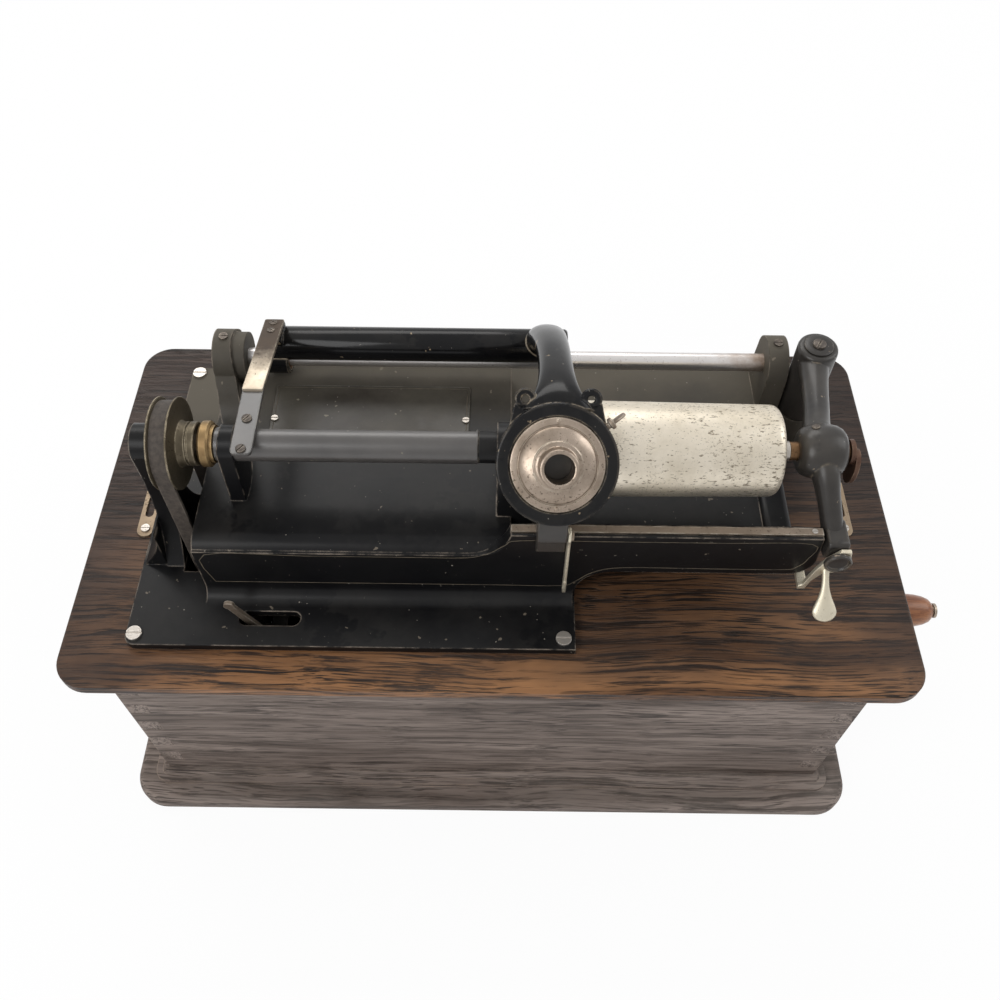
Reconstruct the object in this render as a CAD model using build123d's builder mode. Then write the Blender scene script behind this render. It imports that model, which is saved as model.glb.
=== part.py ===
from build123d import *
from math import atan2, cos, hypot, pi, radians, sin, sqrt
import os

# Cylinder phonograph: a spring motor hangs under a hinged works board in an oak case.
# X runs to the right, Y to the back, Z up. The origin is the middle of the foot.
# Heights that end in _height are above the top face of the works board.

# Case
case_length = 398.5
case_depth = 195.3
wall_top = 154.2
wall = 12.0
wall_foot = 3.0
finger_count = 13
moulding_reach = 20.5
moulding_foot = 9.0
moulding_step = 3.0
moulding_cove = 4.0
moulding_corner = 20.0
bottom_board_thickness = 8.0
bottom_board_z = 8.0
glue_block = 18.0

# Works board
board_side_overhang = 15.75
board_front_overhang = 15.85
board_length = case_length + 2 * board_side_overhang
board_depth = case_depth + 2 * board_front_overhang
board_thickness = 10.5
board_corner = 16.0
board_round = 4.5
motor_opening_left = -165.0
motor_opening_right = 36.0
motor_opening_depth = 100.0
board_top = wall_top + board_thickness

# Hinges and catches
hinge_spread = 250.0
hinge_width = 50.0
hinge_leaf = 1.6
hinge_pin_radius = 1.5
hinge_knuckle_radius = 3.2
hinge_knuckles = 5
hinge_gap = 0.3
catch_length = 39.0
catch_width = 9.0
catch_thickness = 1.2
catch_slot_length = 14.0
catch_slot_width = 4.4
catch_left = (-187.2, -7.0)
catch_right = (190.0, -1.5)

# Bedplate casting
flange_left = -182.0
flange_right = 42.0
flange_front = -92.5
flange_back = 92.5
flange_thickness = 4.5
flange_tail_right = 173.0
flange_tail_front = 40.0
hood_left = -145.0
hood_right = 9.0
hood_front = -62.0
hood_back = 60.0
hood_height = 46.0
casting_wall = 4.0
hood_front_round = 4.0
hood_back_round = 9.0
hood_cove = 8.0
hood_ledge = 18.0
deck_height = 33.0
deck_back = 76.0
beam_height = 60.0
beam_bottom_height = 29.0
beam_right = 156.0
beam_depth = 7.0
beam_corner = 12.0
beam_sweep = 18.0
rib_left = 136.0
rib_right = 150.0
rib_height = 36.0
pedestal_left = 132.0
pedestal_right = 172.0
screw_inset = 4.4
bedplate_screw_radius = 3.9
lever_slot_left = -127.0
lever_slot_right = -96.0
lever_slot_y = -77.0
lever_slot_width = 8.0

# Main shaft, mandrel and belt
mandrel_y = -24.0
mandrel_height = 78.2
shaft_radius = 4.76
shaft_left = -170.0
shaft_right = 139.5
mandrel_left = 26.0
mandrel_right = 133.8
mandrel_left_radius = 22.9
mandrel_right_radius = 21.7
mandrel_shell = 2.2
mandrel_round = 4.0
pulley_left = -157.5
pulley_right = -147.5
pulley_rim_radius = 22.2
pulley_seat_radius = 18.6
pulley_flange = 1.0
pulley_hub_radius = 10.5
pulley_hub_right = -139.0
collar_left = -137.4
collar_right = -132.2
collar_radius = 11.0
thrust_ring_radius = 9.0
belt_thickness = 1.6
belt_gap = 0.3
bush_wall = 2.4
running_fit = 0.06
bracket_left = -169.3
bracket_right = -160.2
bracket_head_radius = 9.5
middle_bearing_left = 2.0
middle_bearing_right = 20.0
middle_bearing_radius = 12.0
guard_left = -130.5
guard_right = -7.0
guard_radius = 8.0
guard_bore = 5.4
guard_slot_low = 15.0
guard_slot_high = 62.0

# Back rod
rod_y = 53.0
rod_height = 57.0
rod_radius = 4.76
rod_post_radius = 14.5
left_post_left = -148.0
left_post_right = -137.0
left_post_boss_right = -131.5
right_post_left = 143.0
right_post_right = 153.5

# Carriage
sleeve_left = -121.5
sleeve_right = 38.0
sleeve_radius = 8.75
sleeve_bearing = 12.0
bar_radius = 8.9
bar_back = 1.5
bar_rise = 9.0
bar_clearance = 1.0
carriage_bush_length = 11.0
carriage_bush_radius = 6.6
ring_x = 28.5
ring_y = -54.0
ring_height = 104.0
ring_lean = 46.0
ring_radius = 27.0
ring_thickness = 7.0
ring_seat_lip = 2.0
ring_seat_depth = 1.6
ear_reach = 30.2
ear_spread = 23.0
ear_radius = 4.8
ear_hole_radius = 1.6
ear_thickness = 3.0
rest_left = 17.0
rest_right = 28.0
rest_clearance = 0.3
lever_width = 7.0
lever_thickness = 2.0
lever_drop = 46.0
nut_arm_left = -120.5
nut_arm_right = -110.5
nut_arm_thickness = 1.6
strip_thickness = 1.8
straight_edge_right = 155.0
straight_edge_width = 4.0
straight_edge_height = 2.6
straight_edge_proud = 0.8

# Reproducer
reproducer_radius = 20.9
reproducer_fit = 0.1
neck_radius = 8.5
neck_bore_radius = 6.4
neck_height = 16.0
dome_height = 3.4
diaphragm_radius = 16.0
diaphragm_thickness = 0.6
weight_radius = 15.5
weight_thickness = 3.0
weight_hang = 4.0
stylus_drop = 3.2

# Gate
gate_x = 165.0
gate_y = 42.0
gate_hub_radius = 10.3
gate_hub_bottom = 34.0
gate_hub_top = 81.0
gate_pin_radius = 4.0
gate_boss_left = 143.7
gate_boss_right = 166.0
gate_boss_radius = 13.0
gate_foot_left = 156.5
gate_foot_right = 166.5
gate_foot_front = -66.0
gate_foot_back = -50.0
gate_foot_top = 61.0
gate_foot_bottom = 48.0
centre_pin_radius = 4.4
centre_pin_left = 139.8

# Motor
motor_plate = 4.0
motor_left = -140.0
motor_middle = -62.0
motor_right = 12.0
winding_y = 2.0
winding_drop = 50.0
drive_drop = 60.0
gear_module = 1.25
governor_module = 1.0
barrel_teeth = 68
wheel_teeth = 50
pinion_teeth = 10
drive_wheel_teeth = 40
barrel_radius = 38.0
barrel_left = -52.0
barrel_right = 6.0
gear_width = 6.0
arbor_radius = 5.0
train_shaft_radius = 3.0
train_wheel_left = -75.0
governor_wheel_left = -134.0
governor_angle = 150.0
governor_left = -134.0
governor_disc_x = -106.0
governor_disc_radius = 15.0
governor_weight_radius = 5.0
governor_spread = 14.0
governor_weights = 3
spring_turns = 6
spring_thickness = 1.4
frame_pillar_radius = 4.0
hanger_radius = 2.5

# Crank
crank_length = 70.0
crank_gap = 19.75
crank_plate = 6.0
crank_shaft_radius = 6.0
crank_hole_radius = 9.5
grip_length = 60.0
grip_radius = 11.0
grip_gap = 0.5

os.makedirs("parts", exist_ok=True)

mandrel_centre = (mandrel_y, board_top + mandrel_height)
rod_centre = (rod_y, board_top + rod_height)
winding_centre = (winding_y, board_top - winding_drop)
drive_centre = (mandrel_y, board_top - drive_drop)
deck_plane = Plane.XY.offset(board_top)
ring_plane = Plane(
    origin=(ring_x, ring_y, board_top + ring_height),
    x_dir=(1, 0, 0),
    z_dir=(0, -cos(radians(ring_lean)), sin(radians(ring_lean))),
)


def save(piece, node):
    """Write one sub-part to its own file."""
    piece.part.label = node
    export_step(piece.part, f"parts/{node}.step")


def turned(start, end, centre, radius, bore=0.0, mode=Mode.ADD):
    """A disc or tube along X, with its middle at centre in (y, z)."""
    with BuildSketch(Plane.YZ.offset(start)) as section:
        with Locations(centre):
            Circle(radius)
            if bore:
                Circle(bore, mode=Mode.SUBTRACT)
    extrude(section.sketch, amount=end - start, mode=mode)


def upright(x, y, start, end, radius, bore=0.0, mode=Mode.ADD):
    """A disc or tube along Z between two heights."""
    with BuildSketch(Plane.XY.offset(start)) as section:
        with Locations((x, y)):
            Circle(radius)
            if bore:
                Circle(bore, mode=Mode.SUBTRACT)
    extrude(section.sketch, amount=end - start, mode=mode)


def block(x_span, y_span, z_span, mode=Mode.ADD):
    """A box given by its two ends along each axis."""
    with BuildSketch(Plane.XY.offset(z_span[0])) as section:
        with Locations(((x_span[0] + x_span[1]) / 2, (y_span[0] + y_span[1]) / 2)):
            Rectangle(x_span[1] - x_span[0], y_span[1] - y_span[0])
    extrude(section.sketch, amount=z_span[1] - z_span[0], mode=mode)


def above(height):
    """Turn a height above the works board into a place in the model."""
    return board_top + height


def slotted_head(x, y, z, radius, height, slot=0.9):
    """A low round screw head with one slot across it."""
    upright(x, y, z, z + height, radius)
    block((x - radius, x + radius), (y - slot / 2, y + slot / 2), (z + height / 2, z + height), Mode.SUBTRACT)


# Case boards, joined at the corners by square fingers
wall_height = wall_top - wall_foot
finger = wall_height / finger_count
half_length = case_length / 2
half_depth = case_depth / 2


def finger_cuts(x, y, first):
    """Cut every second finger out of a board at one corner."""
    for i in range(first, finger_count, 2):
        low = wall_foot + i * finger
        block((x - wall / 2, x + wall / 2), (y - wall / 2, y + wall / 2), (low, low + finger), Mode.SUBTRACT)


crank_plane_left = half_length + crank_gap
corner_x = half_length - wall / 2
corner_y = half_depth - wall / 2

with BuildPart() as case_front:
    block((-half_length, half_length), (-half_depth, wall - half_depth), (wall_foot, wall_top))
    finger_cuts(-corner_x, -corner_y, 0)
    finger_cuts(corner_x, -corner_y, 0)
save(case_front, "case_front")

with BuildPart() as case_back:
    block((-half_length, half_length), (half_depth - wall, half_depth), (wall_foot, wall_top))
    finger_cuts(-corner_x, corner_y, 0)
    finger_cuts(corner_x, corner_y, 0)
save(case_back, "case_back")

with BuildPart() as case_left:
    block((-half_length, wall - half_length), (-half_depth, half_depth), (wall_foot, wall_top))
    finger_cuts(-corner_x, -corner_y, 1)
    finger_cuts(-corner_x, corner_y, 1)
save(case_left, "case_left")

with BuildPart() as case_right:
    block((half_length - wall, half_length), (-half_depth, half_depth), (wall_foot, wall_top))
    finger_cuts(corner_x, -corner_y, 1)
    finger_cuts(corner_x, corner_y, 1)
    turned(half_length - wall, half_length, winding_centre, crank_hole_radius, mode=Mode.SUBTRACT)
save(case_right, "case_right")

# Base moulding: a flat foot, a rounded bead, a small step and a cove against the boards
moulding_top = moulding_foot + moulding_step + moulding_cove
step_reach = moulding_reach * 0.42
cove_reach = moulding_reach * 0.22

with BuildPart() as base_moulding:
    with BuildSketch():
        RectangleRounded(case_length + 2 * moulding_reach, case_depth + 2 * moulding_reach, moulding_corner)
    extrude(amount=moulding_foot)
    fillet(base_moulding.faces().sort_by(Axis.Z)[-1].edges(), moulding_foot * 0.45)
    with BuildSketch(Plane.XY.offset(moulding_foot)):
        RectangleRounded(case_length + 2 * step_reach, case_depth + 2 * step_reach, step_reach)
    extrude(amount=moulding_step)
    with BuildSketch(Plane.XY.offset(moulding_foot + moulding_step)):
        RectangleRounded(case_length + 2 * cove_reach, case_depth + 2 * cove_reach, cove_reach)
    extrude(amount=moulding_cove, taper=30)
    with BuildSketch():
        Rectangle(case_length, case_depth)
    extrude(amount=moulding_top, mode=Mode.SUBTRACT)
save(base_moulding, "base_moulding")

with BuildPart() as bottom_board:
    with BuildSketch(Plane.XY.offset(bottom_board_z)):
        Rectangle(case_length - 2 * wall, case_depth - 2 * wall)
    extrude(amount=bottom_board_thickness)
save(bottom_board, "bottom_board")

# Glue blocks: three-cornered posts in the case corners, short of the hinge end
block_foot = bottom_board_z + bottom_board_thickness
block_top = wall_top - 2 * board_thickness

with BuildPart() as corner_blocks:
    with BuildSketch(Plane.XY.offset(block_foot)):
        for side_x in (-1, 1):
            for side_y in (-1, 1):
                corner = (side_x * (half_length - wall), side_y * (half_depth - wall))
                with BuildLine():
                    Polyline(
                        corner,
                        (corner[0] - side_x * glue_block, corner[1]),
                        (corner[0], corner[1] - side_y * glue_block),
                        close=True,
                    )
                make_face()
    extrude(amount=block_top - block_foot)
save(corner_blocks, "corner_blocks")

# Back hinges: butt leaves on the case back and under the board, with the pin outside
hinge_y = half_depth + hinge_knuckle_radius + hinge_gap
hinge_z = wall_top - hinge_knuckle_radius - hinge_leaf - hinge_gap
knuckle = hinge_width / hinge_knuckles
hinge_lefts = [-hinge_spread / 2 - hinge_width / 2, hinge_spread / 2 - hinge_width / 2]

with BuildPart() as hinge_case_leaves:
    for left in hinge_lefts:
        block((left, left + hinge_width), (half_depth, half_depth + hinge_leaf), (hinge_z - 24, hinge_z))
        turned(left, left + hinge_width, (hinge_y, hinge_z), hinge_knuckle_radius)
        for i in range(0, hinge_knuckles, 2):
            low = left + i * knuckle
            turned(low - hinge_gap, low + knuckle + hinge_gap, (hinge_y, hinge_z),
                   hinge_knuckle_radius + hinge_gap, mode=Mode.SUBTRACT)
            block((low - hinge_gap, low + knuckle + hinge_gap), (half_depth, half_depth + hinge_leaf + 0.1),
                  (hinge_z - hinge_knuckle_radius - 0.6, hinge_z), Mode.SUBTRACT)
        turned(left, left + hinge_width, (hinge_y, hinge_z), hinge_pin_radius)
save(hinge_case_leaves, "hinge_case_leaves")

with BuildPart() as hinge_board_leaves:
    for left in hinge_lefts:
        for i in range(0, hinge_knuckles, 2):
            low = left + i * knuckle
            turned(low, low + knuckle, (hinge_y, hinge_z), hinge_knuckle_radius)
            block((low, low + knuckle), (hinge_y - hinge_leaf / 2, hinge_y + hinge_leaf / 2),
                  (hinge_z, wall_top - hinge_leaf))
        block((left, left + hinge_width), (hinge_y - hinge_leaf / 2, board_depth / 2 - board_round),
              (wall_top - hinge_leaf, wall_top))
        turned(left, left + hinge_width, (hinge_y, hinge_z), hinge_pin_radius + running_fit,
               mode=Mode.SUBTRACT)
save(hinge_board_leaves, "hinge_board_leaves")

# Crank bush: a flanged brass tube through the right-hand board
with BuildPart() as crank_bush:
    turned(half_length - wall, half_length, winding_centre, crank_hole_radius)
    turned(half_length, half_length + 2.5, winding_centre, crank_hole_radius + 6)
    turned(half_length - wall, half_length + 2.5, winding_centre, crank_shaft_radius + running_fit,
           mode=Mode.SUBTRACT)
save(crank_bush, "crank_bush")

# Works board with its motor opening and the slot for the start lever
with BuildPart() as top_board:
    with BuildSketch(Plane.XY.offset(wall_top)):
        RectangleRounded(board_length, board_depth, board_corner)
    extrude(amount=board_thickness)
    fillet(top_board.faces().sort_by(Axis.Z)[0].edges(), board_round)
    fillet(top_board.faces().sort_by(Axis.Z)[-1].edges(), board_round / 3)
    block((motor_opening_left, motor_opening_right), (-motor_opening_depth / 2, motor_opening_depth / 2),
          (wall_top, board_top), Mode.SUBTRACT)
    block((lever_slot_left - 4, lever_slot_right + 4),
          (lever_slot_y - lever_slot_width, -motor_opening_depth / 2), (wall_top, board_top), Mode.SUBTRACT)
save(top_board, "top_board")


with BuildPart() as catch_plates:
    with BuildSketch(deck_plane):
        for place in (catch_left, catch_right):
            with Locations(place):
                SlotOverall(catch_length, catch_width, rotation=90)
                SlotOverall(catch_slot_length, catch_slot_width, rotation=90, mode=Mode.SUBTRACT)
    extrude(amount=catch_thickness)
save(catch_plates, "catch_plates")

# Bedplate: the rising web between the left rod post and the guard bearing
web_left = guard_left + 0.5
web_right = web_left + 8
web_front = mandrel_y - 12

with BuildPart() as left_web:
    with BuildSketch(deck_plane):
        with BuildLine():
            Spline((left_post_left, 66), (left_post_left + 1, 34), (web_left - 9, 8), (web_left - 0.5, -10),
                   (web_left, web_front))
            Line((web_left, web_front), (web_right, web_front))
            Spline((web_right, web_front), (web_right - 0.5, -12), (web_right - 6, 8),
                   (left_post_right + 1, 34), (left_post_right, 66))
            Line((left_post_right, 66), (left_post_left, 66))
        make_face()
    extrude(amount=mandrel_height + 12)
    with BuildSketch(Plane.YZ.offset(left_post_left)):
        with BuildLine():
            Polyline((mandrel_y - 10, above(hood_height - 2)), (mandrel_y - 9, above(mandrel_height)))
            ThreePointArc((mandrel_y - 9, above(mandrel_height)), (mandrel_y, above(mandrel_height + 9.5)),
                          (mandrel_y + 9, above(mandrel_height)))
            Spline((mandrel_y + 9, above(mandrel_height)), (mandrel_y + 26, above(rod_height)),
                   (mandrel_y + 48, above(rod_height - 8)), (rod_y - rod_post_radius, above(rod_height)))
            ThreePointArc((rod_y - rod_post_radius, above(rod_height)),
                          (rod_y, above(rod_height + rod_post_radius)),
                          (rod_y + rod_post_radius, above(rod_height)))
            Polyline((rod_y + rod_post_radius, above(rod_height)), (hood_back + 4, above(hood_height - 2)),
                     (mandrel_y - 10, above(hood_height - 2)))
        make_face()
    extrude(amount=40, mode=Mode.INTERSECT)

# Bedplate: the casting itself
inner_left = hood_left + casting_wall
inner_right = hood_right - casting_wall
inner_front = hood_front + casting_wall
inner_back = hood_back - casting_wall


with BuildPart() as bedplate:
    with BuildSketch(deck_plane):
        with BuildLine():
            Polyline(
                (flange_left, flange_front), (flange_right, flange_front), (flange_right, flange_tail_front),
                (flange_tail_right, flange_tail_front), (flange_tail_right, flange_back),
                (flange_left, flange_back), close=True,
            )
        make_face()
        outer = [v for v in vertices() if abs(v.X - flange_right) > 1]
        fillet(outer, 5)
    extrude(amount=flange_thickness)
    # Hood, a long box with rounded top edges
    with BuildSketch(Plane.YZ.offset(hood_left)):
        with Locations(((hood_front + hood_back) / 2, above(hood_height / 2))):
            Rectangle(hood_back - hood_front, hood_height)
        front_top = vertices().sort_by(Axis.Z)[-2:].sort_by(Axis.Y)[0]
        fillet(front_top, hood_front_round)
        back_top = vertices().sort_by(Axis.Y)[-2:].sort_by(Axis.Z)[-1]
        fillet(back_top, hood_back_round)
    extrude(amount=hood_right - hood_left)
    # Cove between the hood's front and the flange
    with BuildSketch(Plane.YZ.offset(hood_left)):
        with BuildLine():
            Polyline((hood_front - hood_cove, above(flange_thickness)), (hood_front, above(flange_thickness)),
                     (hood_front, above(flange_thickness + hood_cove)))
            ThreePointArc(
                (hood_front, above(flange_thickness + hood_cove)),
                (hood_front - hood_cove * 0.293, above(flange_thickness + hood_cove * 0.293)),
                (hood_front - hood_cove, above(flange_thickness)),
            )
        make_face()
    extrude(amount=flange_right - 1 - hood_left)
    # Front face: it runs on from the hood, rises to the beam and sweeps down to the flange
    with BuildSketch(Plane.XZ.offset(-hood_front)):
        with BuildLine():
            Polyline((hood_left, above(0)), (hood_left, above(hood_height - 4)),
                     (-14, above(hood_height - 4)))
            Spline((-14, above(hood_height - 4)), (hood_right - 6, above(hood_height + 1)),
                   (hood_right, above(beam_height)), tangents=((1, 0), (0.3, 1)))
            Polyline((hood_right, above(beam_height)), (beam_right - 1, above(beam_height)),
                     (beam_right, above(beam_bottom_height + beam_corner)))
            ThreePointArc(
                (beam_right, above(beam_bottom_height + beam_corner)),
                (beam_right - beam_corner * 0.293, above(beam_bottom_height + beam_corner * 0.293)),
                (beam_right - beam_corner, above(beam_bottom_height)),
            )
            Line((beam_right - beam_corner, above(beam_bottom_height)),
                 (flange_right + beam_sweep, above(beam_bottom_height)))
            ThreePointArc(
                (flange_right + beam_sweep, above(beam_bottom_height)),
                (flange_right + beam_sweep * 0.293, above(beam_bottom_height - beam_sweep * 0.293)),
                (flange_right, above(beam_bottom_height - beam_sweep)),
            )
            Polyline((flange_right, above(beam_bottom_height - beam_sweep)), (flange_right, above(0)),
                     (hood_left, above(0)))
        make_face()
    extrude(amount=-beam_depth)
    # Deck under the mandrel, its rear wall, the end rib and the right-hand pedestal
    block((hood_right - casting_wall, rib_right), (hood_front + 1, deck_back),
          (above(beam_bottom_height), above(deck_height)))
    block((hood_right - casting_wall, pedestal_right), (deck_back - casting_wall, deck_back),
          (above(0), above(deck_height)))
    block((hood_right - casting_wall, hood_right), (hood_front + 1, deck_back),
          (above(0), above(deck_height)))
    block((pedestal_left, pedestal_right), (flange_tail_front, deck_back), (above(0), above(deck_height)))
    upright(gate_x, gate_y, above(0), above(gate_hub_bottom - 0.3), gate_hub_radius)
    with BuildSketch(Plane.XZ.offset(-flange_tail_front)):
        with Locations(((rib_left + rib_right) / 2, above((beam_bottom_height + rib_height) / 2))):
            RectangleRounded(rib_right - rib_left, rib_height - beam_bottom_height, 3)
    extrude(amount=flange_tail_front - hood_front - 2)
    # Hollow inside of the hood, and the ledge that the motor hangs from
    block((inner_left, inner_right), (inner_front, inner_back),
          (above(flange_thickness), above(hood_height - casting_wall)), Mode.SUBTRACT)
    block((inner_left + hood_ledge, inner_right - hood_ledge),
          (inner_front + hood_ledge, inner_back - hood_ledge),
          (above(0), above(flange_thickness)), Mode.SUBTRACT)
    # Middle bearing standard
    with BuildSketch(Plane.YZ.offset(middle_bearing_left)):
        with BuildLine():
            Polyline((mandrel_y - 20, above(deck_height - 2)), (mandrel_y + 20, above(deck_height - 2)),
                     (mandrel_y + middle_bearing_radius, above(mandrel_height)))
            ThreePointArc((mandrel_y + middle_bearing_radius, above(mandrel_height)),
                          (mandrel_y, above(mandrel_height + middle_bearing_radius)),
                          (mandrel_y - middle_bearing_radius, above(mandrel_height)))
            Line((mandrel_y - middle_bearing_radius, above(mandrel_height)),
                 (mandrel_y - 20, above(deck_height - 2)))
        make_face()
    extrude(amount=middle_bearing_right - middle_bearing_left)
    turned(guard_right, middle_bearing_left, mandrel_centre, guard_radius - 0.4)
    # Left-hand standard outside the pulley, with a wide flared foot
    with BuildSketch(Plane.YZ.offset(bracket_left)):
        with BuildLine():
            Polyline((mandrel_y - 27, above(0)), (mandrel_y + 27, above(0)))
            Spline((mandrel_y + 27, above(0)), (mandrel_y + 17, above(14)), (mandrel_y + 9, above(44)),
                   (mandrel_y + bracket_head_radius, above(mandrel_height)))
            ThreePointArc((mandrel_y + bracket_head_radius, above(mandrel_height)),
                          (mandrel_y, above(mandrel_height + bracket_head_radius)),
                          (mandrel_y - bracket_head_radius, above(mandrel_height)))
            Spline((mandrel_y - bracket_head_radius, above(mandrel_height)), (mandrel_y - 9, above(44)),
                   (mandrel_y - 17, above(14)), (mandrel_y - 27, above(0)))
        make_face()
    extrude(amount=bracket_right - bracket_left)
    with BuildSketch(Plane.XZ.offset(-mandrel_y + 22)):
        with BuildLine():
            Polyline((flange_left + 1, above(flange_thickness)), (bracket_left, above(flange_thickness)),
                     (bracket_left, above(32)))
            TangentArc((bracket_left, above(32)), (flange_left + 1, above(flange_thickness)), tangent=(0, -1))
        make_face()
    extrude(amount=-44)
    # Left rod post with its web, and the right rod post
    add(left_web.part)
    turned(left_post_left, left_post_boss_right, rod_centre, rod_post_radius - 1.5)
    with BuildSketch(Plane.YZ.offset(right_post_left)):
        with BuildLine():
            Polyline((rod_y - 15, above(deck_height - 2)), (rod_y + 18, above(deck_height - 2)),
                     (rod_y + rod_post_radius, above(rod_height)))
            ThreePointArc((rod_y + rod_post_radius, above(rod_height)),
                          (rod_y, above(rod_height + rod_post_radius)),
                          (rod_y - rod_post_radius, above(rod_height)))
            Line((rod_y - rod_post_radius, above(rod_height)), (rod_y - 15, above(deck_height - 2)))
        make_face()
    extrude(amount=right_post_right - right_post_left)
    # Bores and openings
    bush_radius = shaft_radius + bush_wall
    turned(bracket_left, bracket_right, mandrel_centre, bush_radius, mode=Mode.SUBTRACT)
    turned(guard_left, hood_right, mandrel_centre, guard_radius, mode=Mode.SUBTRACT)
    turned(guard_right, middle_bearing_right, mandrel_centre, guard_radius - 0.4)
    turned(guard_right, middle_bearing_right, mandrel_centre, bush_radius, mode=Mode.SUBTRACT)
    turned(left_post_left + 3, right_post_right - 3, rod_centre, rod_radius, mode=Mode.SUBTRACT)
    upright(gate_x, gate_y, above(4), above(gate_hub_bottom), gate_pin_radius, mode=Mode.SUBTRACT)
    block((pulley_left - 2.5, hood_left - 1.5), (mandrel_y - 26, mandrel_y + 26),
          (above(0), above(flange_thickness)), Mode.SUBTRACT)
    block((hood_right, straight_edge_right), (hood_front + 2, hood_front + 2 + straight_edge_width),
          (above(beam_height + straight_edge_proud - straight_edge_height), above(beam_height + 1)),
          Mode.SUBTRACT)
    with BuildSketch(deck_plane):
        with Locations(((lever_slot_left + lever_slot_right) / 2, lever_slot_y)):
            SlotOverall(lever_slot_right - lever_slot_left, lever_slot_width)
    extrude(amount=hood_cove + flange_thickness, mode=Mode.SUBTRACT)
save(bedplate, "bedplate")

# Straight edge let into the top of the front beam
edge_top = beam_height + straight_edge_proud
edge_back = hood_front + 2 + straight_edge_width

with BuildPart() as straight_edge:
    block((hood_right, straight_edge_right), (edge_back - straight_edge_width, edge_back),
          (above(edge_top - straight_edge_height), above(edge_top)))
save(straight_edge, "straight_edge")

# Screws that hold the bedplate, the catch plates and the straight edge
screw_places = [
    (flange_left + screw_inset, flange_front + screw_inset + 1.5),
    (flange_right - screw_inset - 1.5, flange_front + screw_inset + 1.5),
    (flange_left + screw_inset, flange_back - screw_inset),
    (flange_tail_right - screw_inset, flange_back - screw_inset),
]

with BuildPart() as deck_screws:
    for x, y in screw_places:
        slotted_head(x, y, above(flange_thickness), bedplate_screw_radius, 1.4)
    for x, y in (catch_left, catch_right):
        for end in (-1, 1):
            slotted_head(x, y + end * (catch_length / 2 - 5), above(catch_thickness), 2.4, 0.9, slot=0.6)
    slotted_head(straight_edge_right - 4, edge_back - straight_edge_width / 2, above(edge_top), 1.4, 0.5,
                 slot=0.4)
save(deck_screws, "deck_screws")

# Blank plate on the hood, with its two screws
plate_left = -117.0
plate_right = -13.0
plate_front = 8.0
plate_back = 42.0
plate_thickness = 0.8
plate_screw_y = 18.5

with BuildPart() as hood_plate:
    with BuildSketch(Plane.XY.offset(above(hood_height))):
        with Locations(((plate_left + plate_right) / 2, (plate_front + plate_back) / 2)):
            RectangleRounded(plate_right - plate_left, plate_back - plate_front, 1.5)
    extrude(amount=plate_thickness)
save(hood_plate, "hood_plate")

with BuildPart() as plate_screws:
    for x in (plate_left + 1.9, plate_right - 1.9):
        slotted_head(x, plate_screw_y, above(hood_height + plate_thickness), 1.9, 0.8, slot=0.5)
save(plate_screws, "plate_screws")

# Back rod and the screws that hold it in its posts
with BuildPart() as back_rod:
    turned(left_post_left + 3, right_post_right - 3, rod_centre, rod_radius)
save(back_rod, "back_rod")

post_top = rod_height + rod_post_radius
with BuildPart() as post_screws:
    for x in ((left_post_left + left_post_right) / 2, (right_post_left + right_post_right) / 2):
        slotted_head(x, rod_y, above(post_top), 2.4, 1.0, slot=0.6)
save(post_screws, "post_screws")

# Feed-screw guard: a plain tube with a long slot on its upper rear side for the half nut
slot_reach = guard_radius * 1.5
slot_end = 9.0
with BuildPart() as screw_guard:
    turned(guard_left, guard_right, mandrel_centre, guard_radius, guard_bore)
    slot_plane = Plane(origin=(guard_left + slot_end, *mandrel_centre), x_dir=(0, 1, 0), z_dir=(1, 0, 0))
    with BuildSketch(slot_plane):
        with BuildLine():
            Polyline(
                (0, 0),
                (slot_reach * cos(radians(guard_slot_low)), slot_reach * sin(radians(guard_slot_low))),
                (slot_reach * cos(radians(guard_slot_high)), slot_reach * sin(radians(guard_slot_high))),
                close=True,
            )
        make_face()
    extrude(amount=guard_right - guard_left - slot_end - 1, mode=Mode.SUBTRACT)
save(screw_guard, "screw_guard")

# Bronze bushes that carry the shaft
with BuildPart() as shaft_bushes:
    bush_bore = shaft_radius + running_fit
    turned(bracket_left, bracket_right, mandrel_centre, bush_radius, bush_bore)
    turned(guard_right, middle_bearing_right, mandrel_centre, bush_radius, bush_bore)
save(shaft_bushes, "shaft_bushes")

# Gate hinge pin with its slotted cap
with BuildPart() as gate_pin:
    upright(gate_x, gate_y, above(4), above(gate_hub_top + 0.3), gate_pin_radius)
    slotted_head(gate_x, gate_y, above(gate_hub_top + 0.3), 6.2, 1.6, slot=1.4)
save(gate_pin, "gate_pin")

# Feed-screw shaft with a centre hole at its right-hand end
with BuildPart() as feed_shaft:
    turned(shaft_left, shaft_right, mandrel_centre, shaft_radius)
    with BuildSketch(Plane.YZ.offset(shaft_right)):
        with Locations(mandrel_centre):
            Circle(centre_pin_radius * 0.7)
    extrude(amount=-centre_pin_radius * 0.7 + 0.4, taper=45, mode=Mode.SUBTRACT)
save(feed_shaft, "feed_shaft")

# Mandrel: a tapered thin tube with an end wall at each end
mandrel_slope = (mandrel_left_radius - mandrel_right_radius) / (mandrel_right - mandrel_left)
mandrel_plane = Plane(origin=(0, mandrel_y, above(mandrel_height)), x_dir=(1, 0, 0), z_dir=(0, -1, 0))
mandrel_axis = Axis((0, mandrel_y, above(mandrel_height)), (1, 0, 0))
end_wall = 5.0

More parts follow.
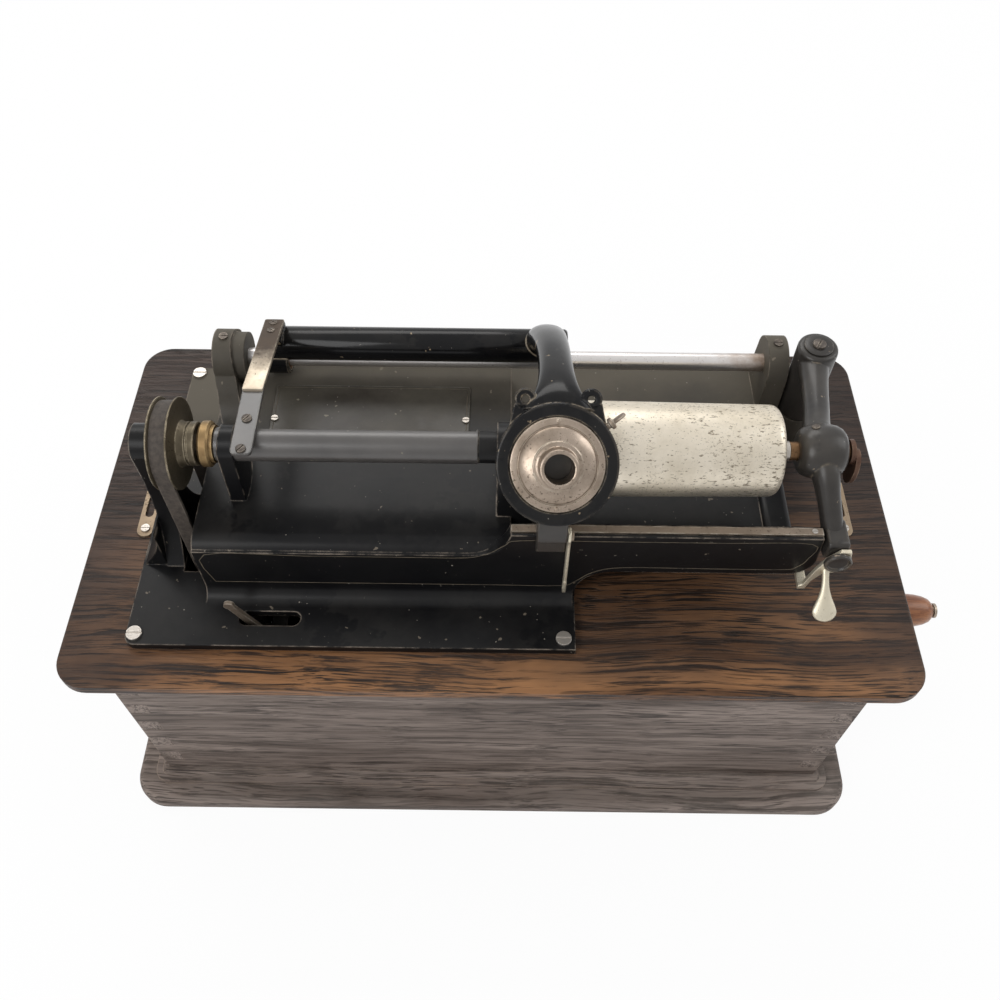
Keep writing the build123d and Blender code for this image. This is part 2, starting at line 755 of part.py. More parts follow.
with BuildPart() as mandrel:
    with BuildSketch(mandrel_plane):
        with BuildLine():
            Polyline(
                (mandrel_left, shaft_radius),
                (mandrel_left, mandrel_left_radius),
                (mandrel_right - mandrel_round, mandrel_right_radius + mandrel_slope * mandrel_round),
            )
            ThreePointArc(
                (mandrel_right - mandrel_round, mandrel_right_radius + mandrel_slope * mandrel_round),
                (mandrel_right - mandrel_round * 0.293, mandrel_right_radius - mandrel_round * 0.293),
                (mandrel_right, mandrel_right_radius - mandrel_round),
            )
            Polyline(
                (mandrel_right, mandrel_right_radius - mandrel_round),
                (mandrel_right, shaft_radius),
                (mandrel_right - end_wall, shaft_radius),
                (mandrel_right - end_wall, mandrel_right_radius - mandrel_shell),
                (mandrel_left + end_wall, mandrel_left_radius - mandrel_shell),
                (mandrel_left + end_wall, shaft_radius),
                (mandrel_left, shaft_radius),
            )
        make_face()
    revolve(axis=mandrel_axis)
save(mandrel, "mandrel")

# Driven pulley: two thin dished rims round a flat belt seat, with a long hub
with BuildPart() as driven_pulley:
    turned(pulley_left, pulley_right, mandrel_centre, pulley_seat_radius)
    turned(pulley_left, pulley_left + pulley_flange, mandrel_centre, pulley_rim_radius)
    turned(pulley_right - pulley_flange, pulley_right, mandrel_centre, pulley_rim_radius)
    turned(pulley_right - 2.5, pulley_right, mandrel_centre, pulley_seat_radius - 1.5, pulley_hub_radius,
           mode=Mode.SUBTRACT)
    turned(pulley_right - 3, pulley_hub_right, mandrel_centre, pulley_hub_radius)
    turned(pulley_left, pulley_hub_right, mandrel_centre, shaft_radius, mode=Mode.SUBTRACT)
save(driven_pulley, "driven_pulley")

# Brass collar and the thrust ring beside the guard
with BuildPart() as shaft_collars:
    turned(collar_left, collar_right, mandrel_centre, collar_radius, shaft_radius)
    chamfer(shaft_collars.edges().filter_by(GeomType.CIRCLE).sort_by(SortBy.RADIUS)[-2:], 1.0)
    turned(collar_right, guard_left - 0.3, mandrel_centre, thrust_ring_radius, shaft_radius)
save(shaft_collars, "shaft_collars")

# Drive belt: a flat loop over two pulleys of one size
belt_inner = pulley_seat_radius + belt_gap
belt_edge = pulley_flange + belt_gap
belt_span = mandrel_height + drive_drop
belt_middle = (mandrel_y, (mandrel_centre[1] + drive_centre[1]) / 2)

with BuildPart() as drive_belt:
    with BuildSketch(Plane.YZ.offset(pulley_left + belt_edge)):
        with Locations(belt_middle):
            SlotCenterToCenter(belt_span, 2 * (belt_inner + belt_thickness), rotation=90)
            SlotCenterToCenter(belt_span, 2 * belt_inner, rotation=90, mode=Mode.SUBTRACT)
    extrude(amount=pulley_right - pulley_left - 2 * belt_edge)
save(drive_belt, "drive_belt")

# Carriage bushes: the sleeve turns on them and they slide on the rod
bush_lefts = (sleeve_left + 1, sleeve_right - 1 - carriage_bush_length)

with BuildPart() as carriage_bushes:
    for left in bush_lefts:
        turned(left, left + carriage_bush_length, rod_centre, carriage_bush_radius - running_fit,
               rod_radius + running_fit)
save(carriage_bushes, "carriage_bushes")

# Carriage arm: sleeve, arch and reproducer ring in one casting
bar_centre = (rod_y + bar_back, above(rod_height + bar_rise))
bar_top = rod_height + bar_rise + bar_radius
arch_points = [
    (26.0, rod_y + bar_back, rod_height + bar_rise, 20.0, 15.0),
    (26.4, 47.0, 79.0, 20.0, 14.5),
    (27.2, 35.0, 89.5, 18.0, 13.5),
    (28.0, 20.0, 99.0, 16.6, 12.5),
    (28.4, 4.0, 107.3, 16.0, 11.5),
    (28.5, -12.0, 114.4, 16.4, 10.0),
    (28.5, -30.0, 118.0, 20.0, 7.0),
]


def arch_plane(i):
    """A plane across the arch at one of its points, square to the way it runs."""
    before = arch_points[max(i - 1, 0)]
    after = arch_points[min(i + 1, len(arch_points) - 1)]
    way = Vector(0, after[1] - before[1], after[2] - before[2])
    return Plane(origin=(arch_points[i][0], arch_points[i][1], above(arch_points[i][2])), x_dir=(1, 0, 0),
                 z_dir=way)


with BuildPart() as arch:
    for i, point in enumerate(arch_points):
        with BuildSketch(arch_plane(i)):
            Ellipse(point[3] / 2, point[4] / 2)
    loft(ruled=True)

ring_bottom = ring_plane.offset(-ring_thickness)
pad_height = bar_top + 0.6
ring_screw_radius = 1.6
ring_screw_angle = 38.0
ring_middle = ring_plane.offset(-ring_thickness / 2)
screw_turn = radians(ring_screw_angle)
ring_screw_way = ring_middle.x_dir * cos(screw_turn) + ring_middle.y_dir * sin(screw_turn)
ring_screw_plane = Plane(origin=ring_middle.origin + ring_screw_way * ring_radius, z_dir=ring_screw_way)

with BuildPart() as carriage_arm:
    turned(sleeve_left, sleeve_right, bar_centre, bar_radius)
    chamfer(carriage_arm.edges().filter_by(GeomType.CIRCLE), 1.0)
    turned(sleeve_left, sleeve_right, rod_centre, rod_radius + bar_clearance, mode=Mode.SUBTRACT)
    turned(sleeve_left, sleeve_left + sleeve_bearing, rod_centre, sleeve_radius)
    turned(sleeve_right - sleeve_bearing, sleeve_right, rod_centre, sleeve_radius)
    add(arch.part)
    with BuildSketch(ring_bottom):
        Circle(ring_radius)
        with Locations((0, ring_radius - 4)):
            Trapezoid(38, 8, 60)
    extrude(amount=ring_thickness - 1.2)
    with BuildSketch(ring_plane.offset(-1.2)):
        Circle(ring_radius)
    extrude(amount=1.2, taper=30)
    with BuildSketch(ring_bottom):
        for side in (-1, 1):
            with Locations((side * ear_spread / 1.6, ear_reach * 0.94)):
                Circle(ear_radius)
            with BuildLine():
                Polyline(
                    (side * 2, ring_radius - 4), (side * 22, ring_radius - 12),
                    (side * (ear_spread / 1.6 + ear_radius * 0.9), ear_reach * 0.88),
                    (side * (ear_spread / 1.6 - ear_radius * 0.6), ear_reach * 0.94 + ear_radius * 0.8),
                    close=True,
                )
            make_face()
    extrude(amount=ear_thickness)
    with BuildSketch(ring_bottom):
        for side in (-1, 1):
            with Locations((side * ear_spread / 1.6, ear_reach * 0.94)):
                Circle(ear_hole_radius)
    extrude(amount=ear_thickness, mode=Mode.SUBTRACT)
    with BuildSketch(ring_bottom):
        Circle(reproducer_radius - ring_seat_depth)
    extrude(amount=ring_thickness + 12, mode=Mode.SUBTRACT)
    with BuildSketch(ring_plane.offset(ring_seat_lip - ring_thickness)):
        Circle(reproducer_radius + reproducer_fit)
    extrude(amount=ring_thickness + 12, mode=Mode.SUBTRACT)
    turned(sleeve_left, sleeve_right, rod_centre, carriage_bush_radius, mode=Mode.SUBTRACT)
    block((nut_arm_left, nut_arm_right), (rod_y - 7, rod_y + 7), (above(bar_top - 2.5), above(pad_height)))
    with BuildSketch(ring_screw_plane.offset(-ring_radius)):
        Circle(ring_screw_radius + running_fit)
    extrude(amount=ring_radius + 8, mode=Mode.SUBTRACT)
save(carriage_arm, "carriage_arm")

# Nut arm: a nickelled flat spring on the sleeve, and the strip that it carries over the guard
strip_height = mandrel_height + guard_radius + 0.6
spring_end_y = 0.0
strip_front_y = -38.0

with BuildPart() as nut_spring:
    with BuildSketch(Plane.YZ.offset(nut_arm_left)):
        with BuildLine():
            Polyline(
                (rod_y + 7, above(pad_height)),
                (rod_y - 8, above(pad_height)),
                (8, above(strip_height + strip_thickness)),
                (spring_end_y, above(strip_height + strip_thickness)),
                (spring_end_y, above(strip_height + strip_thickness + nut_arm_thickness)),
                (8, above(strip_height + strip_thickness + nut_arm_thickness)),
                (rod_y - 8, above(pad_height + nut_arm_thickness)),
                (rod_y + 7, above(pad_height + nut_arm_thickness)),
                close=True,
            )
        make_face()
    extrude(amount=nut_arm_right - nut_arm_left)
save(nut_spring, "nut_spring")

with BuildPart() as nut_strip:
    with BuildSketch(Plane.XY.offset(above(strip_height))):
        with Locations(((nut_arm_left + nut_arm_right) / 2, (strip_front_y + spring_end_y + 8) / 2)):
            RectangleRounded(nut_arm_right - nut_arm_left, spring_end_y + 8 - strip_front_y, 2.5)
    extrude(amount=strip_thickness)
save(nut_strip, "nut_strip")

# Half nut under the strip: it reaches the feed screw through the slot of the guard
nut_gap = 0.3
nut_low = radians(guard_slot_low + 9)
nut_high = radians(guard_slot_high - 26)
nut_inner = shaft_radius + nut_gap
nut_outer = guard_radius * 1.25
nut_shoulder = guard_radius * 1.06


def nut_corner(reach, turn):
    """A point of the half nut's outline, measured from the middle of the shaft."""
    return (mandrel_y + reach * cos(turn), above(mandrel_height + reach * sin(turn)))


with BuildPart() as half_nut:
    with BuildSketch(Plane.YZ.offset(nut_arm_left + 2)):
        with BuildLine():
            Polyline(
                nut_corner(nut_inner, nut_low),
                nut_corner(nut_outer, nut_low),
                (mandrel_y + guard_radius * 1.7, above(strip_height - 2)),
                (mandrel_y + guard_radius * 1.7, above(strip_height)),
                (mandrel_y + guard_radius * 0.3, above(strip_height)),
                nut_corner(nut_shoulder, nut_high + 0.2),
                nut_corner(nut_inner, nut_high),
            )
            RadiusArc(nut_corner(nut_inner, nut_high), nut_corner(nut_inner, nut_low), nut_inner)
        make_face()
    extrude(amount=nut_arm_right - nut_arm_left - 4)
save(half_nut, "half_nut")

nut_arm_middle = (nut_arm_left + nut_arm_right) / 2
with BuildPart() as strip_screws:
    for y in (mandrel_y + 7, mandrel_y - 11):
        slotted_head(nut_arm_middle, y, above(strip_height + strip_thickness), 2.4, 1.0, slot=0.6)
    for y in (rod_y - 4, rod_y + 4):
        slotted_head(nut_arm_middle, y, above(pad_height + nut_arm_thickness), 2.0, 0.9, slot=0.6)
save(strip_screws, "strip_screws")

# Rest block under the ring: it rides on the straight edge and carries the lift lever
ring_way_y = sin(radians(ring_lean))
ring_way_z = cos(radians(ring_lean))


def ring_side(along, deep):
    """A point of the ring's middle section, in (y, z): along its face and deep below it."""
    return (
        ring_y + along * ring_way_y + deep * ring_way_z,
        above(ring_height + along * ring_way_z - deep * ring_way_y),
    )


rest_low = edge_top + rest_clearance
lip_back = hood_front - 0.5
lever_pivot = (lip_back - 3.6, above(rest_low + 6))
lever_pin_radius = 1.5

with BuildPart() as rest_block:
    with BuildSketch(Plane.YZ.offset(rest_left)):
        with BuildLine():
            Polyline(
                ring_side(-ring_radius, ring_thickness),
                ring_side(1 - reproducer_radius, ring_thickness),
                (edge_back, above(rest_low + 12)),
                (edge_back, above(rest_low)),
                (lip_back, above(rest_low)),
                (lip_back, above(rest_low - 8)),
                (lip_back - 4, above(rest_low - 8)),
                (lip_back - 4, above(rest_low + 3)),
                (lip_back - 7.5, above(rest_low + 5)),
                (lip_back - 7.5, above(rest_low + 11)),
                close=True,
            )
        make_face()
    extrude(amount=rest_right - rest_left)
    turned(rest_right, rest_right + lever_thickness + 1.2, lever_pivot, lever_pin_radius)
    turned(rest_right + lever_thickness + 0.6, rest_right + lever_thickness + 1.8, lever_pivot,
           lever_pin_radius + 1)
save(rest_block, "rest_block")

# Lift lever: a flat nickelled blade with a slot in its lower end
lever_tip = (lever_pivot[0] - 1.5, lever_pivot[1] - lever_drop)

with BuildPart() as lift_lever:
    with BuildSketch(Plane.YZ.offset(rest_right + 0.3)):
        with Locations(lever_pivot):
            Circle(lever_width * 0.55)
        with BuildLine():
            Polyline(
                (lever_pivot[0] - 2.6, lever_pivot[1]),
                (lever_tip[0] - 2.1, lever_tip[1]),
                (lever_tip[0] + 2.1, lever_tip[1]),
                (lever_pivot[0] + 2.6, lever_pivot[1]),
                close=True,
            )
        make_face()
        with Locations(lever_tip):
            Circle(2.1)
        with Locations(lever_pivot):
            Circle(lever_pin_radius + running_fit, mode=Mode.SUBTRACT)
        with Locations((lever_tip[0], lever_tip[1] + 3)):
            SlotOverall(7, 1.4, rotation=90, mode=Mode.SUBTRACT)
    extrude(amount=lever_thickness - 0.2)
save(lift_lever, "lift_lever")

# Thumb screw in the ring
with BuildPart() as ring_screw:
    with BuildSketch(ring_screw_plane.offset(0.6 - ring_radius + reproducer_radius)):
        Circle(ring_screw_radius)
    extrude(amount=ring_radius - reproducer_radius + 5)
    with BuildSketch(ring_screw_plane.offset(4.5)):
        Rectangle(9, 3.2)
    extrude(amount=5)
    fillet(ring_screw.edges().filter_by(Axis(ring_screw_plane.origin, ring_screw_plane.z_dir)), 1.2)
    with BuildSketch(ring_screw_plane.offset(2.5)):
        Circle(2.6)
    extrude(amount=2)
save(ring_screw, "ring_screw")

# Reproducer: a turned shell with a dome and a neck for the horn joint
turning_plane = Plane(
    origin=ring_plane.origin,
    x_dir=(1, 0, 0),
    z_dir=(0, -sin(radians(ring_lean)), -cos(radians(ring_lean))),
)
turning_axis = Axis(ring_plane.origin, ring_plane.z_dir)
seat_low = ring_seat_lip - ring_thickness
rim = 0.6
cavity_top = -1.2
step_radius = neck_radius + 2.2
dome_radius = reproducer_radius - 3.4

with BuildPart() as reproducer:
    with BuildSketch(turning_plane):
        with BuildLine():
            Polyline((diaphragm_radius, seat_low), (reproducer_radius, seat_low), (reproducer_radius, rim),
                     (dome_radius, rim))
            ThreePointArc((dome_radius, rim),
                          ((dome_radius + step_radius) / 2 + 0.5, rim + dome_height * 0.62),
                          (step_radius, rim + dome_height))
            Polyline(
                (step_radius, rim + dome_height),
                (step_radius, rim + dome_height + 0.9),
                (neck_radius, rim + dome_height + 0.9),
                (neck_radius, neck_height),
                (neck_bore_radius, neck_height),
                (neck_bore_radius, cavity_top),
                (diaphragm_radius, cavity_top),
                (diaphragm_radius, seat_low),
            )
        make_face()
    revolve(axis=turning_axis)
    chamfer(reproducer.edges().filter_by(GeomType.CIRCLE).sort_by(turning_axis)[-2:], 0.4)
save(reproducer, "reproducer")

# Diaphragm between two soft rings
gasket_inner = diaphragm_radius - 2.5
gasket = (cavity_top - seat_low - diaphragm_thickness) / 2

with BuildPart() as diaphragm:
    with BuildSketch(ring_plane.offset(seat_low + gasket)):
        Circle(diaphragm_radius)
    extrude(amount=diaphragm_thickness)
save(diaphragm, "diaphragm")

weight_lug_y = 14.8
weight_pin_drop = 2.6
weight_pin_radius = 0.9

with BuildPart() as gaskets:
    for low in (seat_low, seat_low + gasket + diaphragm_thickness):
        with BuildSketch(ring_plane.offset(low)):
            Circle(diaphragm_radius)
            Circle(gasket_inner, mode=Mode.SUBTRACT)
        extrude(amount=gasket)
    with BuildSketch(ring_plane.offset(seat_low - weight_pin_drop - 1)):
        with Locations((0, weight_lug_y)):
            Rectangle(5, 2.4)
    extrude(amount=weight_pin_drop + 1)
    with BuildSketch(Plane.YZ.offset(ring_x - 8)):
        with Locations(ring_side(weight_lug_y, weight_pin_drop - seat_low)):
            Circle(weight_pin_radius)
    extrude(amount=16)
save(gaskets, "gaskets")

# Floating weight: it hangs from its pin by a few degrees until a record lifts it
weight_plane = Plane(
    origin=(ring_x, *ring_side(weight_lug_y, weight_pin_drop - seat_low)),
    x_dir=(1, 0, 0),
    z_dir=ring_plane.z_dir,
).rotated((weight_hang, 0, 0))

with BuildPart() as floating_weight:
    with BuildSketch(weight_plane.offset(-weight_thickness / 2)):
        with Locations((0, -weight_lug_y)):
            Circle(weight_radius)
            Rectangle(14, 2 * (weight_lug_y + 1.8))
            Rectangle(30, 30, mode=Mode.INTERSECT)
        with Locations((0, 1)):
            Rectangle(5.8, 6, mode=Mode.SUBTRACT)
    extrude(amount=weight_thickness)
    with BuildSketch(Plane.YZ.offset(ring_x - 12)):
        with Locations(ring_side(weight_lug_y, weight_pin_drop - seat_low)):
            Circle(weight_pin_radius + running_fit)
    extrude(amount=24, mode=Mode.SUBTRACT)
save(floating_weight, "floating_weight")

with BuildPart() as stylus_bar:
    with BuildSketch(weight_plane.offset(-weight_thickness / 2 - 1)):
        with Locations((0, -weight_lug_y + 1)):
            RectangleRounded(2.4, 11, 1.1)
    extrude(amount=1)
    with BuildSketch(weight_plane.offset(-weight_thickness / 2 - 1)):
        with Locations((0, -weight_lug_y + 4)):
            Circle(1.0)
    extrude(amount=-stylus_drop, taper=14)
save(stylus_bar, "stylus_bar")

# Gate: a hub on a vertical pin, an arm with the outer bearing boss, and a foot beside the beam
gate_points = [
    (163.6, 37.0, 72.0, 15.5, 15.0),
    (161.5, 22.0, 73.0, 13.6, 13.0),
    (158.5, 4.0, 75.0, 13.4, 14.0),
    (155.2, -11.0, 77.5, 19.5, 22.0),
    (154.9, mandrel_y, mandrel_height, 22.4, 26.0),
    (155.6, -36.0, 75.0, 18.0, 21.0),
    (157.2, -44.0, 68.0, 12.6, 13.0),
    (160.0, -53.0, 58.0, 12.0, 11.0),
]


def gate_plane(i):
    """A plane across the gate arm at one of its points."""
    before = gate_points[max(i - 1, 0)]
    after = gate_points[min(i + 1, len(gate_points) - 1)]
    way = Vector(0, after[1] - before[1], (after[2] - before[2]) * 0.7)
    return Plane(origin=(gate_points[i][0], gate_points[i][1], above(gate_points[i][2])), x_dir=(-1, 0, 0),
                 z_dir=way)


with BuildPart() as gate_limb:
    for i, point in enumerate(gate_points):
        with BuildSketch(gate_plane(i)):
            Ellipse(point[3] / 2, point[4] / 2)
    loft(ruled=True)

with BuildPart() as gate_arm:
    upright(gate_x, gate_y, above(gate_hub_bottom), above(gate_hub_top), gate_hub_radius)
    fillet(gate_arm.faces().sort_by(Axis.Z)[-1].edges(), 1.2)
    add(gate_limb.part)
    block((gate_foot_left, gate_foot_right), (gate_foot_front, gate_foot_back),
          (above(gate_foot_bottom), above(gate_foot_top)))
    fillet(gate_arm.edges().filter_by(Axis.X).filter_by_position(
        Axis.Z, above(gate_foot_bottom) - 1, above(gate_foot_bottom) + 1), 5)
    turned(gate_boss_left - 2, gate_boss_right + 2, mandrel_centre, centre_pin_radius, mode=Mode.SUBTRACT)
    upright(gate_x, gate_y, above(gate_hub_bottom), above(gate_hub_top), gate_pin_radius + running_fit,
            mode=Mode.SUBTRACT)
save(gate_arm, "gate_arm")

# Centre pin: its cone sits in the end of the shaft
cone = centre_pin_radius * 0.62
with BuildPart() as centre_pin:
    turned(centre_pin_left, gate_boss_right + 1.5, mandrel_centre, centre_pin_radius)
    with BuildSketch(Plane.YZ.offset(centre_pin_left)):
        with Locations(mandrel_centre):
            Circle(cone)
    extrude(amount=-cone + 0.5, taper=45)
save(centre_pin, "centre_pin")

# Centre lock: a collar with a hanging wing, outside the boss
with BuildPart() as centre_lock:
    turned(gate_boss_right + 1.8, gate_boss_right + 4, mandrel_centre, 6.0)
    with BuildSketch(Plane.YZ.offset(gate_boss_right + 4)):
        with Locations((mandrel_y - 3, above(mandrel_height - 7))):
            Ellipse(6.5, 10.5)
    extrude(amount=2.2)
    turned(gate_boss_right + 1.5, gate_boss_right + 1.8, mandrel_centre, 3.0)
save(centre_lock, "centre_lock")

# Gate latch: a plate pivoted on the foot, a finger under the beam, and a drop-shaped handle
latch_pivot = (161.5, above(gate_foot_bottom + 4))
latch_back = gate_foot_front - 0.3
latch_plate = 2.2
latch_pin_radius = 2.0
finger_top = beam_bottom_height - 0.3
handle_length = 26.0
handle_bulb = 5.8
handle_neck = 1.7
handle_drop = 40.0

with BuildPart() as gate_latch:
    with BuildSketch(Plane.XZ.offset(-latch_back)):
        with BuildLine():
            Polyline(
                (latch_pivot[0] + 6, latch_pivot[1] + 7),
                (latch_pivot[0] + 7, latch_pivot[1] - 5),
                (latch_pivot[0] + 2, latch_pivot[1] - 12),
                (latch_pivot[0] - 5, latch_pivot[1] - 18),
                (latch_pivot[0] - 7, above(finger_top) - 3.4),
                (latch_pivot[0] - 12.5, above(finger_top) - 3.4),
                (latch_pivot[0] - 12.5, above(finger_top)),
                (latch_pivot[0] - 8, latch_pivot[1] - 10),
                (latch_pivot[0] - 4, latch_pivot[1]),
                (latch_pivot[0] + 1, latch_pivot[1] + 7),
                close=True,
            )
        make_face()
        fillet(vertices(), 0.8)
    extrude(amount=latch_plate)
    block((latch_pivot[0] - 12, latch_pivot[0] - 7.5), (latch_back - 1, hood_front + beam_depth - 1),
          (above(finger_top) - 3, above(finger_top)))
    with BuildSketch(Plane.XZ.offset(latch_plate - latch_back)):
        with Locations(latch_pivot):
            Circle(3.6)
    extrude(amount=0.8)
    handle_plane = Plane(
        origin=(latch_pivot[0] - 2.5, latch_back - latch_plate / 2, latch_pivot[1] - 8),
        x_dir=(1, 0, 0),
        z_dir=(0, -sin(radians(handle_drop)), cos(radians(handle_drop))),
    )
    with BuildSketch(handle_plane.offset(-1.3)):
        with BuildLine():
            Line((-handle_neck, 2), (handle_neck, 2))
            Spline((handle_neck, 2), (handle_neck * 0.9, -7),
                   (handle_bulb * 0.75, 5 - handle_length + handle_bulb),
                   (handle_bulb, handle_bulb - handle_length))
            ThreePointArc((handle_bulb, handle_bulb - handle_length), (0, -handle_length),
                          (-handle_bulb, handle_bulb - handle_length))
            Spline((-handle_bulb, handle_bulb - handle_length),
                   (-handle_bulb * 0.75, 5 - handle_length + handle_bulb), (-handle_neck * 0.9, -7),
                   (-handle_neck, 2))
        make_face()
    extrude(amount=2.6)
save(gate_latch, "gate_latch")

# Places of the motor's shafts, from the tooth counts
wheel_gap = (barrel_teeth + pinion_teeth) / 2 * gear_module
drive_gap = (wheel_teeth + pinion_teeth) / 2 * gear_module
governor_gap = (drive_wheel_teeth + pinion_teeth) / 2 * governor_module
across_y = winding_centre[0] - drive_centre[0]
across_z = winding_centre[1] - drive_centre[1]
apart = hypot(across_y, across_z)
along = (drive_gap**2 - wheel_gap**2 + apart**2) / (2 * apart)
off = sqrt(drive_gap**2 - along**2)
wheel_centre = (
    drive_centre[0] + (along * across_y + off * across_z) / apart,
    drive_centre[1] + (along * across_z - off * across_y) / apart,
)
governor_centre = (
    drive_centre[0] + governor_gap * cos(radians(governor_angle)),
    drive_centre[1] + governor_gap * sin(radians(governor_angle)),
)


def bearing(a, b):
    """The direction from one shaft to another, in radians."""
    return atan2(b[1] - a[1], b[0] - a[0])


def meshed(teeth_a, phase_a, teeth_b, way):
    """Where the second gear's first tooth points, so that it meshes with the first gear."""
    pitch_a = 2 * pi / teeth_a
    offset = (way - phase_a) % pitch_a
    return way + pi + offset * teeth_a / teeth_b + pi / teeth_b


tooth_share = 0.44
addendum = 0.85
dedendum = 1.15


def gear(start, end, centre, teeth, module, phase):
    """A spur gear with straight-flanked teeth, along X."""
    pitch_radius = teeth * module / 2
    root = pitch_radius - dedendum * module
    tip = pitch_radius + addendum * module
    half = tooth_share * pi / teeth
    root_half = half * (1.55 if teeth > 12 else 1.05)
    tip_half = half * (0.45 if teeth > 12 else 0.42)
    outline = []
    for i in range(teeth):
        middle = phase + 2 * pi * i / teeth
        for radius, turn in ((root, -root_half), (tip, -tip_half), (tip, tip_half), (root, root_half)):
            outline.append((centre[0] + radius * cos(middle + turn), centre[1] + radius * sin(middle + turn)))
    with BuildSketch(Plane.YZ.offset(start)) as section:
        with BuildLine():
            Polyline(*outline, close=True)
        make_face()
    extrude(section.sketch, amount=end - start)


barrel_phase = 0.0
wheel_pinion_phase = meshed(barrel_teeth, barrel_phase, pinion_teeth, bearing(winding_centre, wheel_centre))
wheel_phase = 0.0
drive_pinion_phase = meshed(wheel_teeth, wheel_phase, pinion_teeth, bearing(wheel_centre, drive_centre))
drive_wheel_phase = 0.0
governor_pinion_phase = meshed(drive_wheel_teeth, drive_wheel_phase, pinion_teeth,
                               bearing(drive_centre, governor_centre))

# Spring barrel with its gear, open inside for the mainspring
barrel_wall = 2.5
arbor_hub_radius = 9.0

with BuildPart() as spring_barrel:
    turned(barrel_left, barrel_right, winding_centre, barrel_radius)
    gear(barrel_left, barrel_left + gear_width, winding_centre, barrel_teeth, gear_module, barrel_phase)
    turned(barrel_left + gear_width, barrel_right - barrel_wall, winding_centre, barrel_radius - barrel_wall,
           mode=Mode.SUBTRACT)
    turned(barrel_left, barrel_right, winding_centre, arbor_radius + running_fit, mode=Mode.SUBTRACT)
save(spring_barrel, "spring_barrel")

# Mainspring: a flat spiral of half turns, each a little wider than the last
spring_inner = arbor_hub_radius + 2
spring_outer = barrel_radius - barrel_wall - 0.4
spring_pitch = (spring_outer - spring_thickness - spring_inner) / spring_turns


def spiral_ends(start):
    """The ends of the half turns, on one line through the middle."""
    return [(start + k * spring_pitch / 2) * (1 if k % 2 == 0 else -1) for k in range(2 * spring_turns + 1)]


def half_turns(ends):
    """Half circles from end to end, in turn above and below the line."""
    for k in range(len(ends) - 1):
        middle = (ends[k] + ends[k + 1]) / 2
        reach = abs(ends[k] - ends[k + 1]) / 2
        ThreePointArc((ends[k], 0), (middle, reach if k % 2 == 0 else -reach), (ends[k + 1], 0))


spring_plane = Plane(origin=(barrel_left + gear_width + 2, *winding_centre), x_dir=(0, 1, 0), z_dir=(1, 0, 0))
inner_ends = spiral_ends(spring_inner)
outer_ends = spiral_ends(spring_inner + spring_thickness)

with BuildPart() as mainspring:
    with BuildSketch(spring_plane):
        with BuildLine():
            half_turns(inner_ends)
            half_turns(outer_ends)
            Line((inner_ends[0], 0), (outer_ends[0], 0))
            Line((inner_ends[-1], 0), (outer_ends[-1], 0))
        make_face()
    extrude(amount=barrel_right - barrel_wall - barrel_left - gear_width - 4)
save(mainspring, "mainspring")

# Winding arbor with its spring hub and ratchet wheel
ratchet_teeth = 14
ratchet_radius = 14.0
ratchet_depth = 2.4
ratchet_left = motor_right + motor_plate + 1.5
ratchet_width = 3.0
arbor_end = half_length - wall - 1.5

with BuildPart() as winding_arbor:
    turned(motor_middle, arbor_end, winding_centre, arbor_radius - running_fit)
    turned(barrel_left + gear_width + 1, barrel_right - barrel_wall - 1, winding_centre, arbor_hub_radius)
    with BuildSketch(Plane.YZ.offset(ratchet_left)):
        with BuildLine():
            corners = []
            for i in range(ratchet_teeth):
                turn = 2 * pi * i / ratchet_teeth
                for reach in (ratchet_radius - ratchet_depth, ratchet_radius):
                    corners.append((winding_centre[0] + reach * cos(turn),
                                    winding_centre[1] + reach * sin(turn)))
            Polyline(*corners, close=True)
        make_face()
    extrude(amount=ratchet_width)
save(winding_arbor, "winding_arbor")

# Intermediate shaft: a pinion at the barrel and a wheel behind the middle plate
with BuildPart() as intermediate_gear:
    turned(motor_left, motor_right + motor_plate, wheel_centre, train_shaft_radius - running_fit)
    gear(barrel_left - 1, barrel_left + gear_width + 1, wheel_centre, pinion_teeth, gear_module,
         wheel_pinion_phase)
    gear(train_wheel_left, train_wheel_left + gear_width, wheel_centre, wheel_teeth, gear_module,
         wheel_phase)
    with BuildSketch(Plane.YZ.offset(train_wheel_left)):
        with Locations(wheel_centre):
            with PolarLocations(wheel_teeth * gear_module * 0.29, 5):
                Circle(wheel_teeth * gear_module * 0.11)
    extrude(amount=gear_width, mode=Mode.SUBTRACT)
save(intermediate_gear, "intermediate_gear")

# Drive shaft: pinion, governor wheel and the pulley outside the left plate
with BuildPart() as drive_shaft:
    turned(pulley_left, motor_middle + motor_plate, drive_centre, train_shaft_radius - running_fit)
    gear(train_wheel_left - 1, train_wheel_left + gear_width + 1, drive_centre, pinion_teeth, gear_module,
         drive_pinion_phase)
    gear(governor_wheel_left, governor_wheel_left + gear_width, drive_centre, drive_wheel_teeth,
         governor_module, drive_wheel_phase)
save(drive_shaft, "drive_shaft")

with BuildPart() as drive_pulley:
    turned(pulley_left, pulley_right, drive_centre, pulley_seat_radius)
    turned(pulley_left, pulley_left + pulley_flange, drive_centre, pulley_rim_radius)
    turned(pulley_right - pulley_flange, pulley_right, drive_centre, pulley_rim_radius)
    turned(pulley_right, motor_left - 1, drive_centre, pulley_hub_radius * 0.7)
    turned(pulley_left, motor_left, drive_centre, train_shaft_radius - running_fit, mode=Mode.SUBTRACT)
save(drive_pulley, "drive_pulley")

